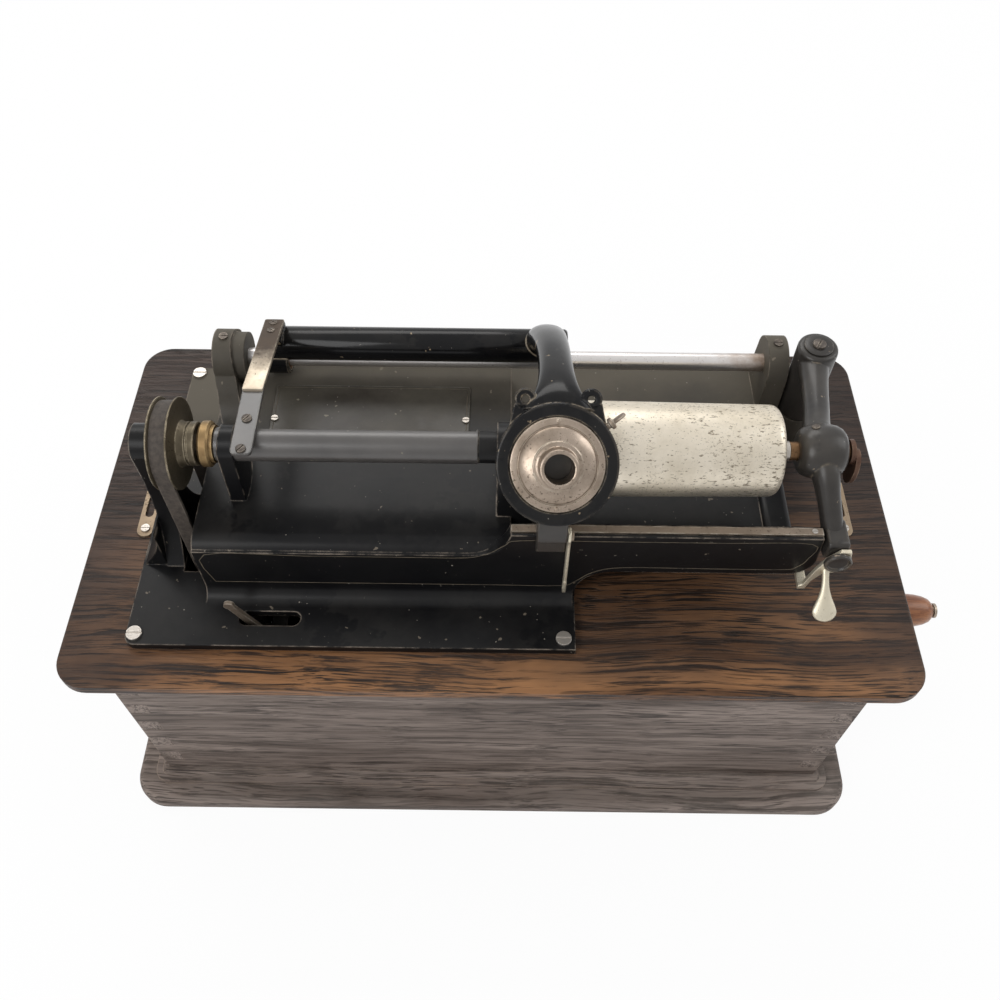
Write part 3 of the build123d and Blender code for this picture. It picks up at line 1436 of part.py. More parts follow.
# Governor: spindle with pinion, friction disc and collar
governor_right = motor_middle + motor_plate
spring_left = governor_disc_x + 4
spring_right = train_wheel_left - 5
with BuildPart() as governor:
    turned(governor_wheel_left - 4, governor_right, governor_centre, train_shaft_radius - 0.5)
    gear(governor_wheel_left - 1, governor_wheel_left + gear_width + 1, governor_centre, pinion_teeth,
         governor_module, governor_pinion_phase)
    turned(governor_disc_x, governor_disc_x + 2, governor_centre, governor_disc_radius)
    turned(governor_disc_x + 2, spring_left + 1, governor_centre, 6)
    turned(spring_right - 1, spring_right + 2, governor_centre, 6)
save(governor, "governor")

# Governor weights: lead discs on bowed leaf springs
spring_mid = (spring_left + spring_right) / 2 + 1
with BuildPart() as governor_weight_set:
    for i in range(governor_weights):
        turn = 2 * pi * i / governor_weights
        way = Vector(0, cos(turn), sin(turn))
        leaf_plane = Plane(origin=(0, *governor_centre), x_dir=(1, 0, 0), z_dir=Vector(1, 0, 0).cross(way))
        with BuildSketch(leaf_plane.offset(-2)):
            with BuildLine():
                ThreePointArc((spring_left + 1, 6), (spring_mid, governor_spread), (spring_right - 1, 6))
                Line((spring_right - 1, 6), (spring_right - 1, 6.8))
                ThreePointArc((spring_right - 1, 6.8), (spring_mid, governor_spread + 0.8),
                              (spring_left + 1, 6.8))
                Line((spring_left + 1, 6.8), (spring_left + 1, 6))
            make_face()
        extrude(amount=4)
        ball_plane = Plane(origin=Vector(spring_mid, *governor_centre) + way * governor_spread, z_dir=way)
        with Locations(ball_plane):
            Cylinder(governor_weight_radius * 0.8, governor_weight_radius * 1.5)
save(governor_weight_set, "governor_weight_set")

# Motor frame: three plates with pillars between them
plate_outline = [(-48, 0), (46, 0), (46, -72), (31, -112), (-40, -112), (-60, -94), (-60, -20), (-48, -12)]
pillars = [(-52, -90), (25, -103), (38, -12)]
lever_bar = (-54, -24)
start_pivot_x = (lever_slot_left + lever_slot_right) / 2
start_pivot_drop = 22.0
plate_lefts = (motor_left, motor_middle, motor_right)
pawl_pivot = (winding_centre[0] + 24, winding_centre[1] + 12)

with BuildPart() as motor_frame:
    for left in plate_lefts:
        with BuildSketch(Plane.YZ.offset(left)):
            with BuildLine():
                Polyline(*[(y, above(z)) for y, z in plate_outline], close=True)
            make_face()
            fillet([v for v in vertices() if v.Y < above(-40)], 6)
        extrude(amount=motor_plate)
    for left in plate_lefts:
        block((left - 5, left + motor_plate + 5), (-48, -40), (above(-motor_plate), board_top))
        block((left - 5, left + motor_plate + 5), (38, 46), (above(-motor_plate), board_top))
    for y, z in pillars:
        turned(motor_left, motor_right, (y, above(z)), frame_pillar_radius)
    turned(motor_left, motor_middle, (lever_bar[0], above(lever_bar[1])), frame_pillar_radius)
    # Lug and pin for the start lever
    block((start_pivot_x - 4, start_pivot_x + 4), (lever_slot_y + 3, lever_bar[0]),
          (above(-start_pivot_drop - 10), above(-start_pivot_drop + 5)))
    with BuildSketch(Plane.XZ.offset(-lever_slot_y + 3.2)):
        with Locations((start_pivot_x, above(-start_pivot_drop))):
            Circle(1.5)
    extrude(amount=-7)
    # Pawl pin
    turned(motor_right + motor_plate, ratchet_left + ratchet_width + 1, pawl_pivot, 1.8)
    # Bores
    turned(motor_left, motor_right + motor_plate, wheel_centre, train_shaft_radius, mode=Mode.SUBTRACT)
    turned(motor_left, governor_right, drive_centre, train_shaft_radius, mode=Mode.SUBTRACT)
    turned(motor_left, governor_right, governor_centre, train_shaft_radius - 0.5 + running_fit,
           mode=Mode.SUBTRACT)
    turned(motor_middle, motor_right + motor_plate, winding_centre, arbor_radius, mode=Mode.SUBTRACT)
save(motor_frame, "motor_frame")

# Hanger screws: from the hood's inner ledge into the ears of the plates
hanger_places = [(left + motor_plate / 2, y) for left in (motor_left + 4, motor_middle) for y in (-44, 42)]
with BuildPart() as hanger_screws:
    for x, y in hanger_places:
        slotted_head(x, y, above(flange_thickness), hanger_radius + 2, 3)
save(hanger_screws, "hanger_screws")

# Pawl beside the ratchet wheel, at the point of the teeth
pawl_tip = (
    winding_centre[0] + (ratchet_radius + 0.3) * cos(0.1),
    winding_centre[1] + (ratchet_radius + 0.3) * sin(0.1),
)
with BuildPart() as pawl:
    with BuildSketch(Plane.YZ.offset(ratchet_left)):
        with Locations(pawl_pivot):
            Circle(4)
        with BuildLine():
            Polyline(
                (pawl_pivot[0] - 3.6, pawl_pivot[1] + 1),
                pawl_tip,
                (pawl_tip[0] + 2.5, pawl_tip[1] - 1),
                (pawl_pivot[0] + 3.4, pawl_pivot[1] - 2),
                close=True,
            )
        make_face()
        with Locations(pawl_pivot):
            Circle(1.8 + running_fit, mode=Mode.SUBTRACT)
    extrude(amount=ratchet_width)
save(pawl, "pawl")

# Start lever: a tumbler that leans in its slot, with a leather pad that stops the governor
lever_lean = 24.0
lever_reach = start_pivot_drop + 24
pad_right = governor_disc_x - 0.3
lever_plane = Plane(
    origin=(start_pivot_x, lever_slot_y + 1, above(-start_pivot_drop)),
    x_dir=(cos(radians(lever_lean)), 0, sin(radians(lever_lean))),
    z_dir=(0, -1, 0),
)
lever_foot = (pad_right - 4 - start_pivot_x, governor_centre[1] - above(-start_pivot_drop))

with BuildPart() as start_lever:
    with BuildSketch(lever_plane):
        Circle(5)
        with BuildLine():
            Polyline((-2.4, 0), (-1.8, lever_reach - 3), (1.8, lever_reach - 3), (2.4, 0), close=True)
        make_face()
        with Locations((0, lever_reach - 2.5)):
            Circle(2.6)
    extrude(amount=2)
    with BuildSketch(Plane.XZ.offset(-lever_slot_y - 1)):
        with BuildLine():
            Polyline(
                (start_pivot_x - 3, above(-start_pivot_drop)),
                (start_pivot_x + 4, above(-start_pivot_drop)),
                (start_pivot_x + lever_foot[0] + 3, above(-start_pivot_drop) + lever_foot[1] - 3),
                (start_pivot_x + lever_foot[0] - 3, above(-start_pivot_drop) + lever_foot[1] - 3),
                close=True,
            )
        make_face()
    extrude(amount=2)
    block((pad_right - 5, pad_right - 2.5), (lever_slot_y - 1, governor_centre[0] - 8),
          (governor_centre[1] - 3, governor_centre[1] + 3))
    with BuildSketch(Plane.XZ.offset(-lever_slot_y + 3)):
        with Locations((start_pivot_x, above(-start_pivot_drop))):
            Circle(1.5 + running_fit)
    extrude(amount=-6, mode=Mode.SUBTRACT)
save(start_lever, "start_lever")

with BuildPart() as brake_pad:
    block((pad_right - 2.5, pad_right), (governor_centre[0] - 14, governor_centre[0] - 8),
          (governor_centre[1] - 3, governor_centre[1] + 3))
save(brake_pad, "brake_pad")

# Crank: shaft, arm and grip pin, with the grip free to turn on it
crank_shaft_left = half_length - wall - 1.2
grip_pin_radius = 3.0
grip_head = 1.6
grip_left = crank_plane_left + crank_plate + grip_gap
grip_right = grip_left + grip_length
grip_centre = (winding_centre[0], winding_centre[1] - crank_length)

with BuildPart() as crank_arm:
    turned(crank_shaft_left, crank_plane_left + crank_plate, winding_centre, crank_shaft_radius)
    with BuildSketch(Plane.YZ.offset(crank_plane_left)):
        with BuildLine():
            Polyline(
                (winding_centre[0] - 9, winding_centre[1]),
                (grip_centre[0] - 7, grip_centre[1]),
                (grip_centre[0] + 7, grip_centre[1]),
                (winding_centre[0] + 9, winding_centre[1]),
                close=True,
            )
        make_face()
        with Locations(winding_centre):
            Circle(9)
        with Locations(grip_centre):
            Circle(7)
    extrude(amount=crank_plate)
    turned(crank_plane_left + crank_plate, grip_right + grip_gap, grip_centre, grip_pin_radius)
    turned(grip_right + grip_gap, grip_right + grip_gap + grip_head, grip_centre, grip_pin_radius + 1.8)
save(crank_arm, "crank_arm")

grip_plane = Plane(origin=(0, *grip_centre), x_dir=(1, 0, 0), z_dir=(0, -1, 0))
grip_bore = grip_pin_radius + running_fit
with BuildPart() as crank_grip:
    with BuildSketch(grip_plane):
        with BuildLine():
            Polyline(
                (grip_left, grip_bore),
                (grip_left, grip_radius * 0.72),
                (grip_left + grip_length * 0.12, grip_radius * 0.79),
                (grip_left + grip_length * 0.3, grip_radius * 0.9),
                (grip_left + grip_length * 0.5, grip_radius * 0.98),
                (grip_left + grip_length * 0.68, grip_radius),
                (grip_left + grip_length * 0.85, grip_radius * 0.95),
                (grip_right - 3, grip_radius * 0.86),
                (grip_right, grip_radius * 0.6),
                (grip_right, grip_bore),
                close=True,
            )
        make_face()
    revolve(axis=Axis((0, *grip_centre), (1, 0, 0)))
save(crank_grip, "crank_grip")
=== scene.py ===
import bpy
import bmesh
from math import acos, atan2, cos, hypot, pi, radians, sin
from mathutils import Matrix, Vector


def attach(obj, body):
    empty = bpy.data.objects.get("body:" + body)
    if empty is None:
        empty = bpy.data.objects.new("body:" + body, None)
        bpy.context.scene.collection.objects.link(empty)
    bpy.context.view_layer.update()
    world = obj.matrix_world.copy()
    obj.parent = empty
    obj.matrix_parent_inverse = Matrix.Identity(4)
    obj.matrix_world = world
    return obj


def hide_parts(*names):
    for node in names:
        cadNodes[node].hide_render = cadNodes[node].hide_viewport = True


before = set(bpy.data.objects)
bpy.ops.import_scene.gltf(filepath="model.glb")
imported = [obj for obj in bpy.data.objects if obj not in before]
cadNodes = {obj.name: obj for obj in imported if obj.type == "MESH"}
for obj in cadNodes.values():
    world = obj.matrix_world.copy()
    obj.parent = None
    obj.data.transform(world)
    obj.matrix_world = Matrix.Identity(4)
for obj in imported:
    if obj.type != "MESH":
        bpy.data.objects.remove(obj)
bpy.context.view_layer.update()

print("frame loaded:", len(cadNodes), "nodes")

# fitted to the corners of the case and the ends of the rod in the photograph
viewFrom = {
    "place": (0.004377, -0.312934, 0.607102),
    "turn": (0.617124, -0.005888, 0.011166),
    "lens": 35.33,
    "sensor": 36.0,
}


def placeCamera(v):
    camData = bpy.data.cameras.new("viewCamera")
    camData.lens = v["lens"]
    camData.sensor_width = v["sensor"]
    camData.sensor_fit = "HORIZONTAL"
    camData.clip_start = 0.01
    cam = bpy.data.objects.new("viewCamera", camData)
    cam.location = v["place"]
    cam.rotation_euler = v["turn"]
    bpy.context.scene.collection.objects.link(cam)
    bpy.context.scene.camera = cam


placeCamera(viewFrom)
bpy.context.scene.view_settings.view_transform = "Standard"
print("camera placed")


# small helpers for node trees

def addNode(tree, kind, values=None, **settings):
    node = tree.nodes.new(kind)
    for key, value in settings.items():
        setattr(node, key, value)
    for key, value in (values or {}).items():
        node.inputs[key].default_value = value
    return node


def startGroup(name, inputs, outputs):
    tree = bpy.data.node_groups.new(name, "ShaderNodeTree")
    for label, kind, start in inputs:
        socket = tree.interface.new_socket(name=label, in_out="INPUT", socket_type="NodeSocket" + kind)
        if start is not None:
            socket.default_value = start
    for label in outputs:
        tree.interface.new_socket(name=label, in_out="OUTPUT", socket_type="NodeSocketFloat")
    return tree, tree.nodes.new("NodeGroupInput"), tree.nodes.new("NodeGroupOutput")


def useGroup(tree, group, vector, values=None, facing=None):
    node = tree.nodes.new("ShaderNodeGroup")
    node.node_tree = group
    tree.links.new(vector, node.inputs["Vector"])
    if facing is not None:
        tree.links.new(facing, node.inputs["Facing"])
    for key, value in (values or {}).items():
        node.inputs[key].default_value = value
    return node


def rampNode(tree, source, low, high, lowValue=0.0, highValue=1.0):
    ramp = tree.nodes.new("ShaderNodeValToRGB")
    ramp.color_ramp.elements[0].position = low
    ramp.color_ramp.elements[0].color = (lowValue, lowValue, lowValue, 1)
    ramp.color_ramp.elements[1].position = high
    ramp.color_ramp.elements[1].color = (highValue, highValue, highValue, 1)
    tree.links.new(source, ramp.inputs[0])
    return ramp.outputs[0]


def mixColor(tree, factor, a, b):
    mix = tree.nodes.new("ShaderNodeMix")
    mix.data_type = "RGBA"
    for socket, value in ((mix.inputs[0], factor), (mix.inputs[6], a), (mix.inputs[7], b)):
        if isinstance(value, bpy.types.NodeSocket):
            tree.links.new(value, socket)
        else:
            socket.default_value = value if isinstance(value, (int, float)) else (*value[:3], 1.0)
    return mix.outputs[2]


def mathNode(tree, operation, a, b=None, clamp=False):
    node = tree.nodes.new("ShaderNodeMath")
    node.operation = operation
    node.use_clamp = clamp
    for socket, value in zip(node.inputs, (a, b)):
        if isinstance(value, bpy.types.NodeSocket):
            tree.links.new(value, socket)
        elif value is not None:
            socket.default_value = value
    return node.outputs[0]


def noiseOf(tree, vector, scale, detail=4.0, roughness=0.6, stretch=None, distortion=0.0):
    if stretch:
        mapping = addNode(tree, "ShaderNodeMapping", {"Scale": stretch})
        tree.links.new(vector, mapping.inputs["Vector"])
        vector = mapping.outputs[0]
    noise = addNode(tree, "ShaderNodeTexNoise",
                    {"Detail": detail, "Roughness": roughness, "Distortion": distortion})
    tree.links.new(vector, noise.inputs["Vector"])
    if isinstance(scale, bpy.types.NodeSocket):
        tree.links.new(scale, noise.inputs["Scale"])
    else:
        noise.inputs["Scale"].default_value = scale
    return noise.outputs[0]


def startMaterial(name, roughness=0.5, metallic=0.0, coat=0.0, coatRoughness=0.1, specular=0.5):
    material = bpy.data.materials.new(name)
    material.use_nodes = True
    tree = material.node_tree
    shader = tree.nodes["Principled BSDF"]
    shader.inputs["Roughness"].default_value = roughness
    shader.inputs["Metallic"].default_value = metallic
    shader.inputs["Coat Weight"].default_value = coat
    shader.inputs["Coat Roughness"].default_value = coatRoughness
    shader.inputs["Specular IOR Level"].default_value = specular
    coords = tree.nodes.new("ShaderNodeTexCoord")
    return material, tree, shader, coords


def addBump(tree, shader, height, strength, distance, softEdge=0.0):
    bump = addNode(tree, "ShaderNodeBump", {"Strength": strength, "Distance": distance})
    tree.links.new(height, bump.inputs["Height"])
    if softEdge > 0:
        rounded = addNode(tree, "ShaderNodeBevel", {"Radius": softEdge}, samples=6)
        tree.links.new(rounded.outputs[0], bump.inputs["Normal"])
    tree.links.new(bump.outputs["Normal"], shader.inputs["Normal"])


# effects that several finishes share

def buildOakGrain():
    # figure, dark streaks, open pores and a height, running along X of the vector
    tree, inn, out = startGroup(
        "oakGrain",
        [("Vector", "Vector", None), ("Streaks", "Float", 1.0), ("Pores", "Float", 1.0)],
        ["Figure", "Streaks", "Pores", "Height"],
    )
    wobble = addNode(tree, "ShaderNodeTexNoise", {"Scale": 8.0, "Detail": 2.0})
    tree.links.new(inn.outputs["Vector"], wobble.inputs["Vector"])
    bend = addNode(tree, "ShaderNodeVectorMath", {1: (0.004, 0.016, 0.016)}, operation="MULTIPLY")
    tree.links.new(wobble.outputs["Color"], bend.inputs[0])
    moved = addNode(tree, "ShaderNodeVectorMath", operation="ADD")
    tree.links.new(inn.outputs["Vector"], moved.inputs[0])
    tree.links.new(bend.outputs[0], moved.inputs[1])
    along = moved.outputs[0]
    figure = rampNode(tree, noiseOf(tree, along, 1.0, 4.0, 0.6, (4.0, 52.0, 52.0), 0.6), 0.34, 0.64)
    streak = rampNode(tree, noiseOf(tree, along, 1.0, 5.0, 0.72, (11.0, 300.0, 300.0)), 0.50, 0.585)
    pore = rampNode(tree, noiseOf(tree, along, 1.0, 1.0, 0.5, (34.0, 1050.0, 1050.0)), 0.545, 0.60)
    crowd = rampNode(tree, noiseOf(tree, along, 1.0, 2.0, 0.5, (9.0, 120.0, 120.0)), 0.4, 0.6, 0.25, 1.0)
    streakOut = mathNode(tree, "MULTIPLY", streak, inn.outputs["Streaks"], True)
    poreOut = mathNode(tree, "MULTIPLY", mathNode(tree, "MULTIPLY", pore, crowd), inn.outputs["Pores"], True)
    deep = mathNode(tree, "ADD", mathNode(tree, "MULTIPLY", streakOut, 0.4), poreOut)
    for label, socket in (("Figure", figure), ("Streaks", streakOut), ("Pores", poreOut),
                          ("Height", mathNode(tree, "SUBTRACT", 1.0, deep))):
        tree.links.new(socket, out.inputs[label])
    return tree


def buildEdgeWear():
    # white where an edge has been rubbed, broken up by noise
    tree, inn, out = startGroup(
        "edgeWear",
        [("Vector", "Vector", None), ("Amount", "Float", 1.0), ("Breakup", "Float", 90.0)],
        ["Mask"],
    )
    rounded = addNode(tree, "ShaderNodeBevel", {"Radius": 0.0011}, samples=6)
    plain = tree.nodes.new("ShaderNodeNewGeometry")
    same = addNode(tree, "ShaderNodeVectorMath", operation="DOT_PRODUCT")
    tree.links.new(rounded.outputs[0], same.inputs[0])
    tree.links.new(plain.outputs["Normal"], same.inputs[1])
    edge = mathNode(tree, "MULTIPLY", mathNode(tree, "SUBTRACT", 1.0, same.outputs["Value"]), 9.0, True)
    broken = rampNode(tree, noiseOf(tree, inn.outputs["Vector"], inn.outputs["Breakup"], 4.0, 0.7), 0.42, 0.6)
    worn = mathNode(tree, "MULTIPLY", mathNode(tree, "MULTIPLY", edge, broken), inn.outputs["Amount"], True)
    tree.links.new(worn, out.inputs["Mask"])
    return tree


def buildSettledDust():
    # white where dust lies: faces that look up, in clouds, with fine specks
    tree, inn, out = startGroup(
        "settledDust",
        [("Vector", "Vector", None), ("Facing", "Vector", None), ("Amount", "Float", 0.5),
         ("Cloud", "Float", 30.0), ("Specks", "Float", 0.5)],
        ["Mask", "Specks"],
    )
    split = tree.nodes.new("ShaderNodeSeparateXYZ")
    tree.links.new(inn.outputs["Facing"], split.inputs[0])
    upward = rampNode(tree, split.outputs["Z"], 0.2, 0.95, 0.15, 1.0)
    cloud = rampNode(tree, noiseOf(tree, inn.outputs["Vector"], inn.outputs["Cloud"], 6.0, 0.68), 0.34, 0.78)
    speck = rampNode(tree, noiseOf(tree, inn.outputs["Vector"], 640.0, 1.0, 0.5), 0.775, 0.81)
    specks = mathNode(tree, "MULTIPLY", speck, inn.outputs["Specks"], True)
    lying = mathNode(tree, "MULTIPLY", mathNode(tree, "MULTIPLY", cloud, upward), inn.outputs["Amount"], True)
    tree.links.new(lying, out.inputs["Mask"])
    tree.links.new(specks, out.inputs["Specks"])
    return tree


def buildPitting():
    # small dark spots that gather in patches, as on old nickel
    tree, inn, out = startGroup(
        "pitting",
        [("Vector", "Vector", None), ("Size", "Float", 900.0), ("Patches", "Float", 45.0), ("Amount", "Float", 1.0)],
        ["Mask"],
    )
    spots = noiseOf(tree, inn.outputs["Vector"], inn.outputs["Size"], 3.0, 0.6)
    patches = rampNode(tree, noiseOf(tree, inn.outputs["Vector"], inn.outputs["Patches"], 4.0, 0.6), 0.4, 0.7)
    total = mathNode(tree, "ADD", spots, mathNode(tree, "MULTIPLY", patches, 0.12))
    amount = mathNode(tree, "MULTIPLY", rampNode(tree, total, 0.66, 0.73), inn.outputs["Amount"], True)
    tree.links.new(amount, out.inputs["Mask"])
    return tree


def buildTurnedLines():
    # fine rings round the X axis, as a lathe leaves them
    tree, inn, out = startGroup("turnedLines", [("Vector", "Vector", None), ("Scale", "Float", 1.0)], ["Value"])
    lines = noiseOf(tree, inn.outputs["Vector"], inn.outputs["Scale"], 2.0, 0.5, (2200.0, 14.0, 14.0))
    tree.links.new(lines, out.inputs["Value"])
    return tree


oakGrain = buildOakGrain()
edgeWear = buildEdgeWear()
settledDust = buildSettledDust()
pitting = buildPitting()
turnedLines = buildTurnedLines()
print("shared effects built")


# finishes

def placeFade(tree, place, axis, start, length, ragged=0.5, scale=60.0):
    # 0 before start, 1 a length further on, with a ragged border
    split = tree.nodes.new("ShaderNodeSeparateXYZ")
    tree.links.new(place, split.inputs[0])
    step = mathNode(tree, "DIVIDE", mathNode(tree, "SUBTRACT", split.outputs[axis], start), length)
    stray = mathNode(tree, "MULTIPLY", mathNode(tree, "SUBTRACT", noiseOf(tree, place, scale, 5.0, 0.65), 0.5),
                     ragged * 2)
    return mathNode(tree, "ADD", step, stray, True)


def oakFinish(name, look):
    material, tree, shader, coords = startMaterial(name, look["roughness"], 0.0, look["coat"], 0.3, 0.25)
    place = coords.outputs["Object"]
    vector = place
    if look["along"] != "X":
        turn = addNode(tree, "ShaderNodeMapping", {"Rotation": (0, 0, pi / 2)})
        tree.links.new(place, turn.inputs["Vector"])
        vector = turn.outputs[0]
    grain = useGroup(tree, oakGrain, vector, {"Streaks": look["streaks"], "Pores": look["pores"]})
    tones = look["tones"]
    color = mixColor(tree, grain.outputs["Figure"], tones["dark"], tones["light"])
    if "warm" in look:
        # the varnish has worn to orange wood, most of all towards the front
        warm = look["warm"]
        patch = rampNode(tree, noiseOf(tree, place, 1.0, 5.0, 0.65, (5.0, 11.0, 11.0)), 0.36, 0.62)
        frontward = placeFade(tree, place, "Y", warm["from"], warm["over"], 0.35, 12.0)
        share = mathNode(tree, "MULTIPLY", patch, frontward)
        share = mathNode(tree, "ADD", share, mathNode(tree, "MULTIPLY", frontward, 0.3))
        for start, over in warm["sides"]:
            share = mathNode(tree, "MULTIPLY", share, placeFade(tree, place, "X", start, over, 0.5, 18.0))
        share = mathNode(tree, "MULTIPLY", share, warm["amount"], True)
        orange = mixColor(tree, grain.outputs["Figure"], warm["dark"], warm["light"])
        color = mixColor(tree, share, color, orange)
    color = mixColor(tree, grain.outputs["Streaks"], color, tones["streak"])
    color = mixColor(tree, grain.outputs["Pores"], color, tones["pore"])
    rubbed = useGroup(tree, edgeWear, place, {"Amount": look["wear"], "Breakup": 60.0})
    color = mixColor(tree, rubbed.outputs["Mask"], color, tones["edge"])
    dust = useGroup(tree, settledDust, place, {"Amount": look["dust"], "Cloud": 12.0, "Specks": 0.5},
                    coords.outputs["Normal"])
    color = mixColor(tree, dust.outputs["Mask"], color, tones["dust"])
    tree.links.new(color, shader.inputs["Base Color"])
    rough = mathNode(tree, "ADD", mathNode(tree, "MULTIPLY", dust.outputs["Mask"], 0.4), look["roughness"], True)
    tree.links.new(rough, shader.inputs["Roughness"])
    addBump(tree, shader, grain.outputs["Height"], look["bump"], 0.0005, 0.0008)
    return material


oakLooks = {
    "frontOak": {
        "along": "X", "roughness": 0.56, "coat": 0.0, "streaks": 0.62, "pores": 0.75, "wear": 0.5, "dust": 0.3,
        "bump": 0.5,
        "tones": {"dark": (0.112, 0.084, 0.069), "light": (0.295, 0.238, 0.205), "streak": (0.047, 0.034, 0.027),
                  "pore": (0.018, 0.012, 0.010), "edge": (0.34, 0.26, 0.20), "dust": (0.32, 0.285, 0.255)},
    },
    "boardOak": {
        "along": "X", "roughness": 0.42, "coat": 0.0, "streaks": 0.9, "pores": 0.95, "wear": 0.9, "dust": 0.10,
        "bump": 0.5,
        "tones": {"dark": (0.022, 0.0125, 0.0095), "light": (0.056, 0.033, 0.024), "streak": (0.012, 0.0065, 0.005),
                  "pore": (0.007, 0.004, 0.003), "edge": (0.40, 0.27, 0.17), "dust": (0.25, 0.21, 0.175)},
        "warm": {"from": 0.03, "over": -0.15, "amount": 1.0, "sides": [(-0.235, 0.10), (0.235, -0.06)],
                 "dark": (0.075, 0.030, 0.011), "light": (0.37, 0.175, 0.070)},
    },
    "innerOak": {
        "along": "X", "roughness": 0.7, "coat": 0.0, "streaks": 0.4, "pores": 0.6, "wear": 0.2, "dust": 0.25,
        "bump": 0.4,
        "tones": {"dark": (0.27, 0.17, 0.09), "light": (0.46, 0.33, 0.19), "streak": (0.2, 0.12, 0.06),
                  "pore": (0.13, 0.08, 0.05), "edge": (0.5, 0.38, 0.24), "dust": (0.5, 0.44, 0.36)},
    },
    "gripWood": {
        "along": "X", "roughness": 0.28, "coat": 0.5, "streaks": 0.5, "pores": 0.4, "wear": 0.1, "dust": 0.08,
        "bump": 0.15,
        "tones": {"dark": (0.19, 0.055, 0.020), "light": (0.42, 0.17, 0.065), "streak": (0.12, 0.03, 0.012),
                  "pore": (0.06, 0.02, 0.01), "edge": (0.5, 0.27, 0.13), "dust": (0.4, 0.25, 0.16)},
    },
}
oakLooks["sideOak"] = {**oakLooks["frontOak"], "along": "Y"}
oakLooks["mouldingOak"] = {**oakLooks["frontOak"], "streaks": 0.8, "dust": 0.42, "wear": 0.8}


def japanFinish(name, look):
    # baked black enamel: wiped and dusty patches, rubbed edges, small chips, dull and brown at the rear
    material, tree, shader, coords = startMaterial(name, look["roughness"], 0.0, look["coat"], look["coatRoughness"], look["specular"])
    place = coords.outputs["Object"]
    color = mixColor(tree, rampNode(tree, noiseOf(tree, place, 26.0, 5.0, 0.65), 0.35, 0.7),
                     look["base"], look["cloud"])
    dull = None
    if "rear" in look:
        rear = look["rear"]
        dull = mathNode(tree, "MULTIPLY", placeFade(tree, place, "Y", rear["from"], rear["over"], 0.5, 24.0),
                        rear["amount"], True)
        color = mixColor(tree, dull, color, rear["tone"])
    dust = useGroup(tree, settledDust, place, {"Amount": look["dust"], "Cloud": 22.0, "Specks": look["specks"]},
                    coords.outputs["Normal"])
    # clean patches have hard borders, as if wiped
    wiped = rampNode(tree, noiseOf(tree, place, 17.0, 5.0, 0.7), 0.53, 0.56, 1.0, look["wiped"])
    veil = mathNode(tree, "MULTIPLY", dust.outputs["Mask"], wiped, True)
    color = mixColor(tree, veil, color, look["dustTone"])
    rubbed = useGroup(tree, edgeWear, place, {"Amount": look["wear"], "Breakup": 75.0})
    color = mixColor(tree, rubbed.outputs["Mask"], color, look["edge"])
    chips = mathNode(tree, "MULTIPLY", rampNode(tree, noiseOf(tree, place, 210.0, 2.0, 0.5), 0.735, 0.75),
                     look["chips"], True)
    color = mixColor(tree, chips, color, look["chipTone"])
    if "edgeHighlight" in look:
        # painted highlight and rubbed wear: the bright line along a long rounded edge
        edgeHighlight = look["edgeHighlight"]
        split = tree.nodes.new("ShaderNodeSeparateXYZ")
        tree.links.new(place, split.inputs[0])
        offY = mathNode(tree, "POWER", mathNode(tree, "SUBTRACT", split.outputs["Y"], edgeHighlight["y"]), 2.0)
        offZ = mathNode(tree, "POWER", mathNode(tree, "SUBTRACT", split.outputs["Z"], edgeHighlight["z"]), 2.0)
        away = mathNode(tree, "SQRT", mathNode(tree, "ADD", offY, offZ))
        line = mathNode(tree, "SUBTRACT", 1.0, mathNode(tree, "DIVIDE", away, edgeHighlight["width"]), True)
        before = mathNode(tree, "MULTIPLY", mathNode(tree, "SUBTRACT", edgeHighlight["end"], split.outputs["X"]), 40.0, True)
        broken = rampNode(tree, noiseOf(tree, place, 30.0, 5.0, 0.7), 0.4, 0.52)
        line = mathNode(tree, "MULTIPLY", mathNode(tree, "MULTIPLY", line, before), broken)
        color = mixColor(tree, mathNode(tree, "MULTIPLY", line, 1.6, True), color, edgeHighlight["tone"])
    color = mixColor(tree, dust.outputs["Specks"], color, (0.42, 0.38, 0.32))
    tree.links.new(color, shader.inputs["Base Color"])
    rough = mathNode(tree, "ADD", mathNode(tree, "MULTIPLY", veil, 0.5), look["roughness"], True)
    if dull is not None:
        rough = mathNode(tree, "ADD", rough, mathNode(tree, "MULTIPLY", dull, 0.35), True)
        coat = mathNode(tree, "SUBTRACT", look["coat"], dull, True)
        tree.links.new(coat, shader.inputs["Coat Weight"])
    tree.links.new(rough, shader.inputs["Roughness"])
    ripple = noiseOf(tree, place, 90.0, 2.0, 0.5)
    addBump(tree, shader, mathNode(tree, "SUBTRACT", ripple, chips), look["bump"], 0.0006, 0.0010)
    return material


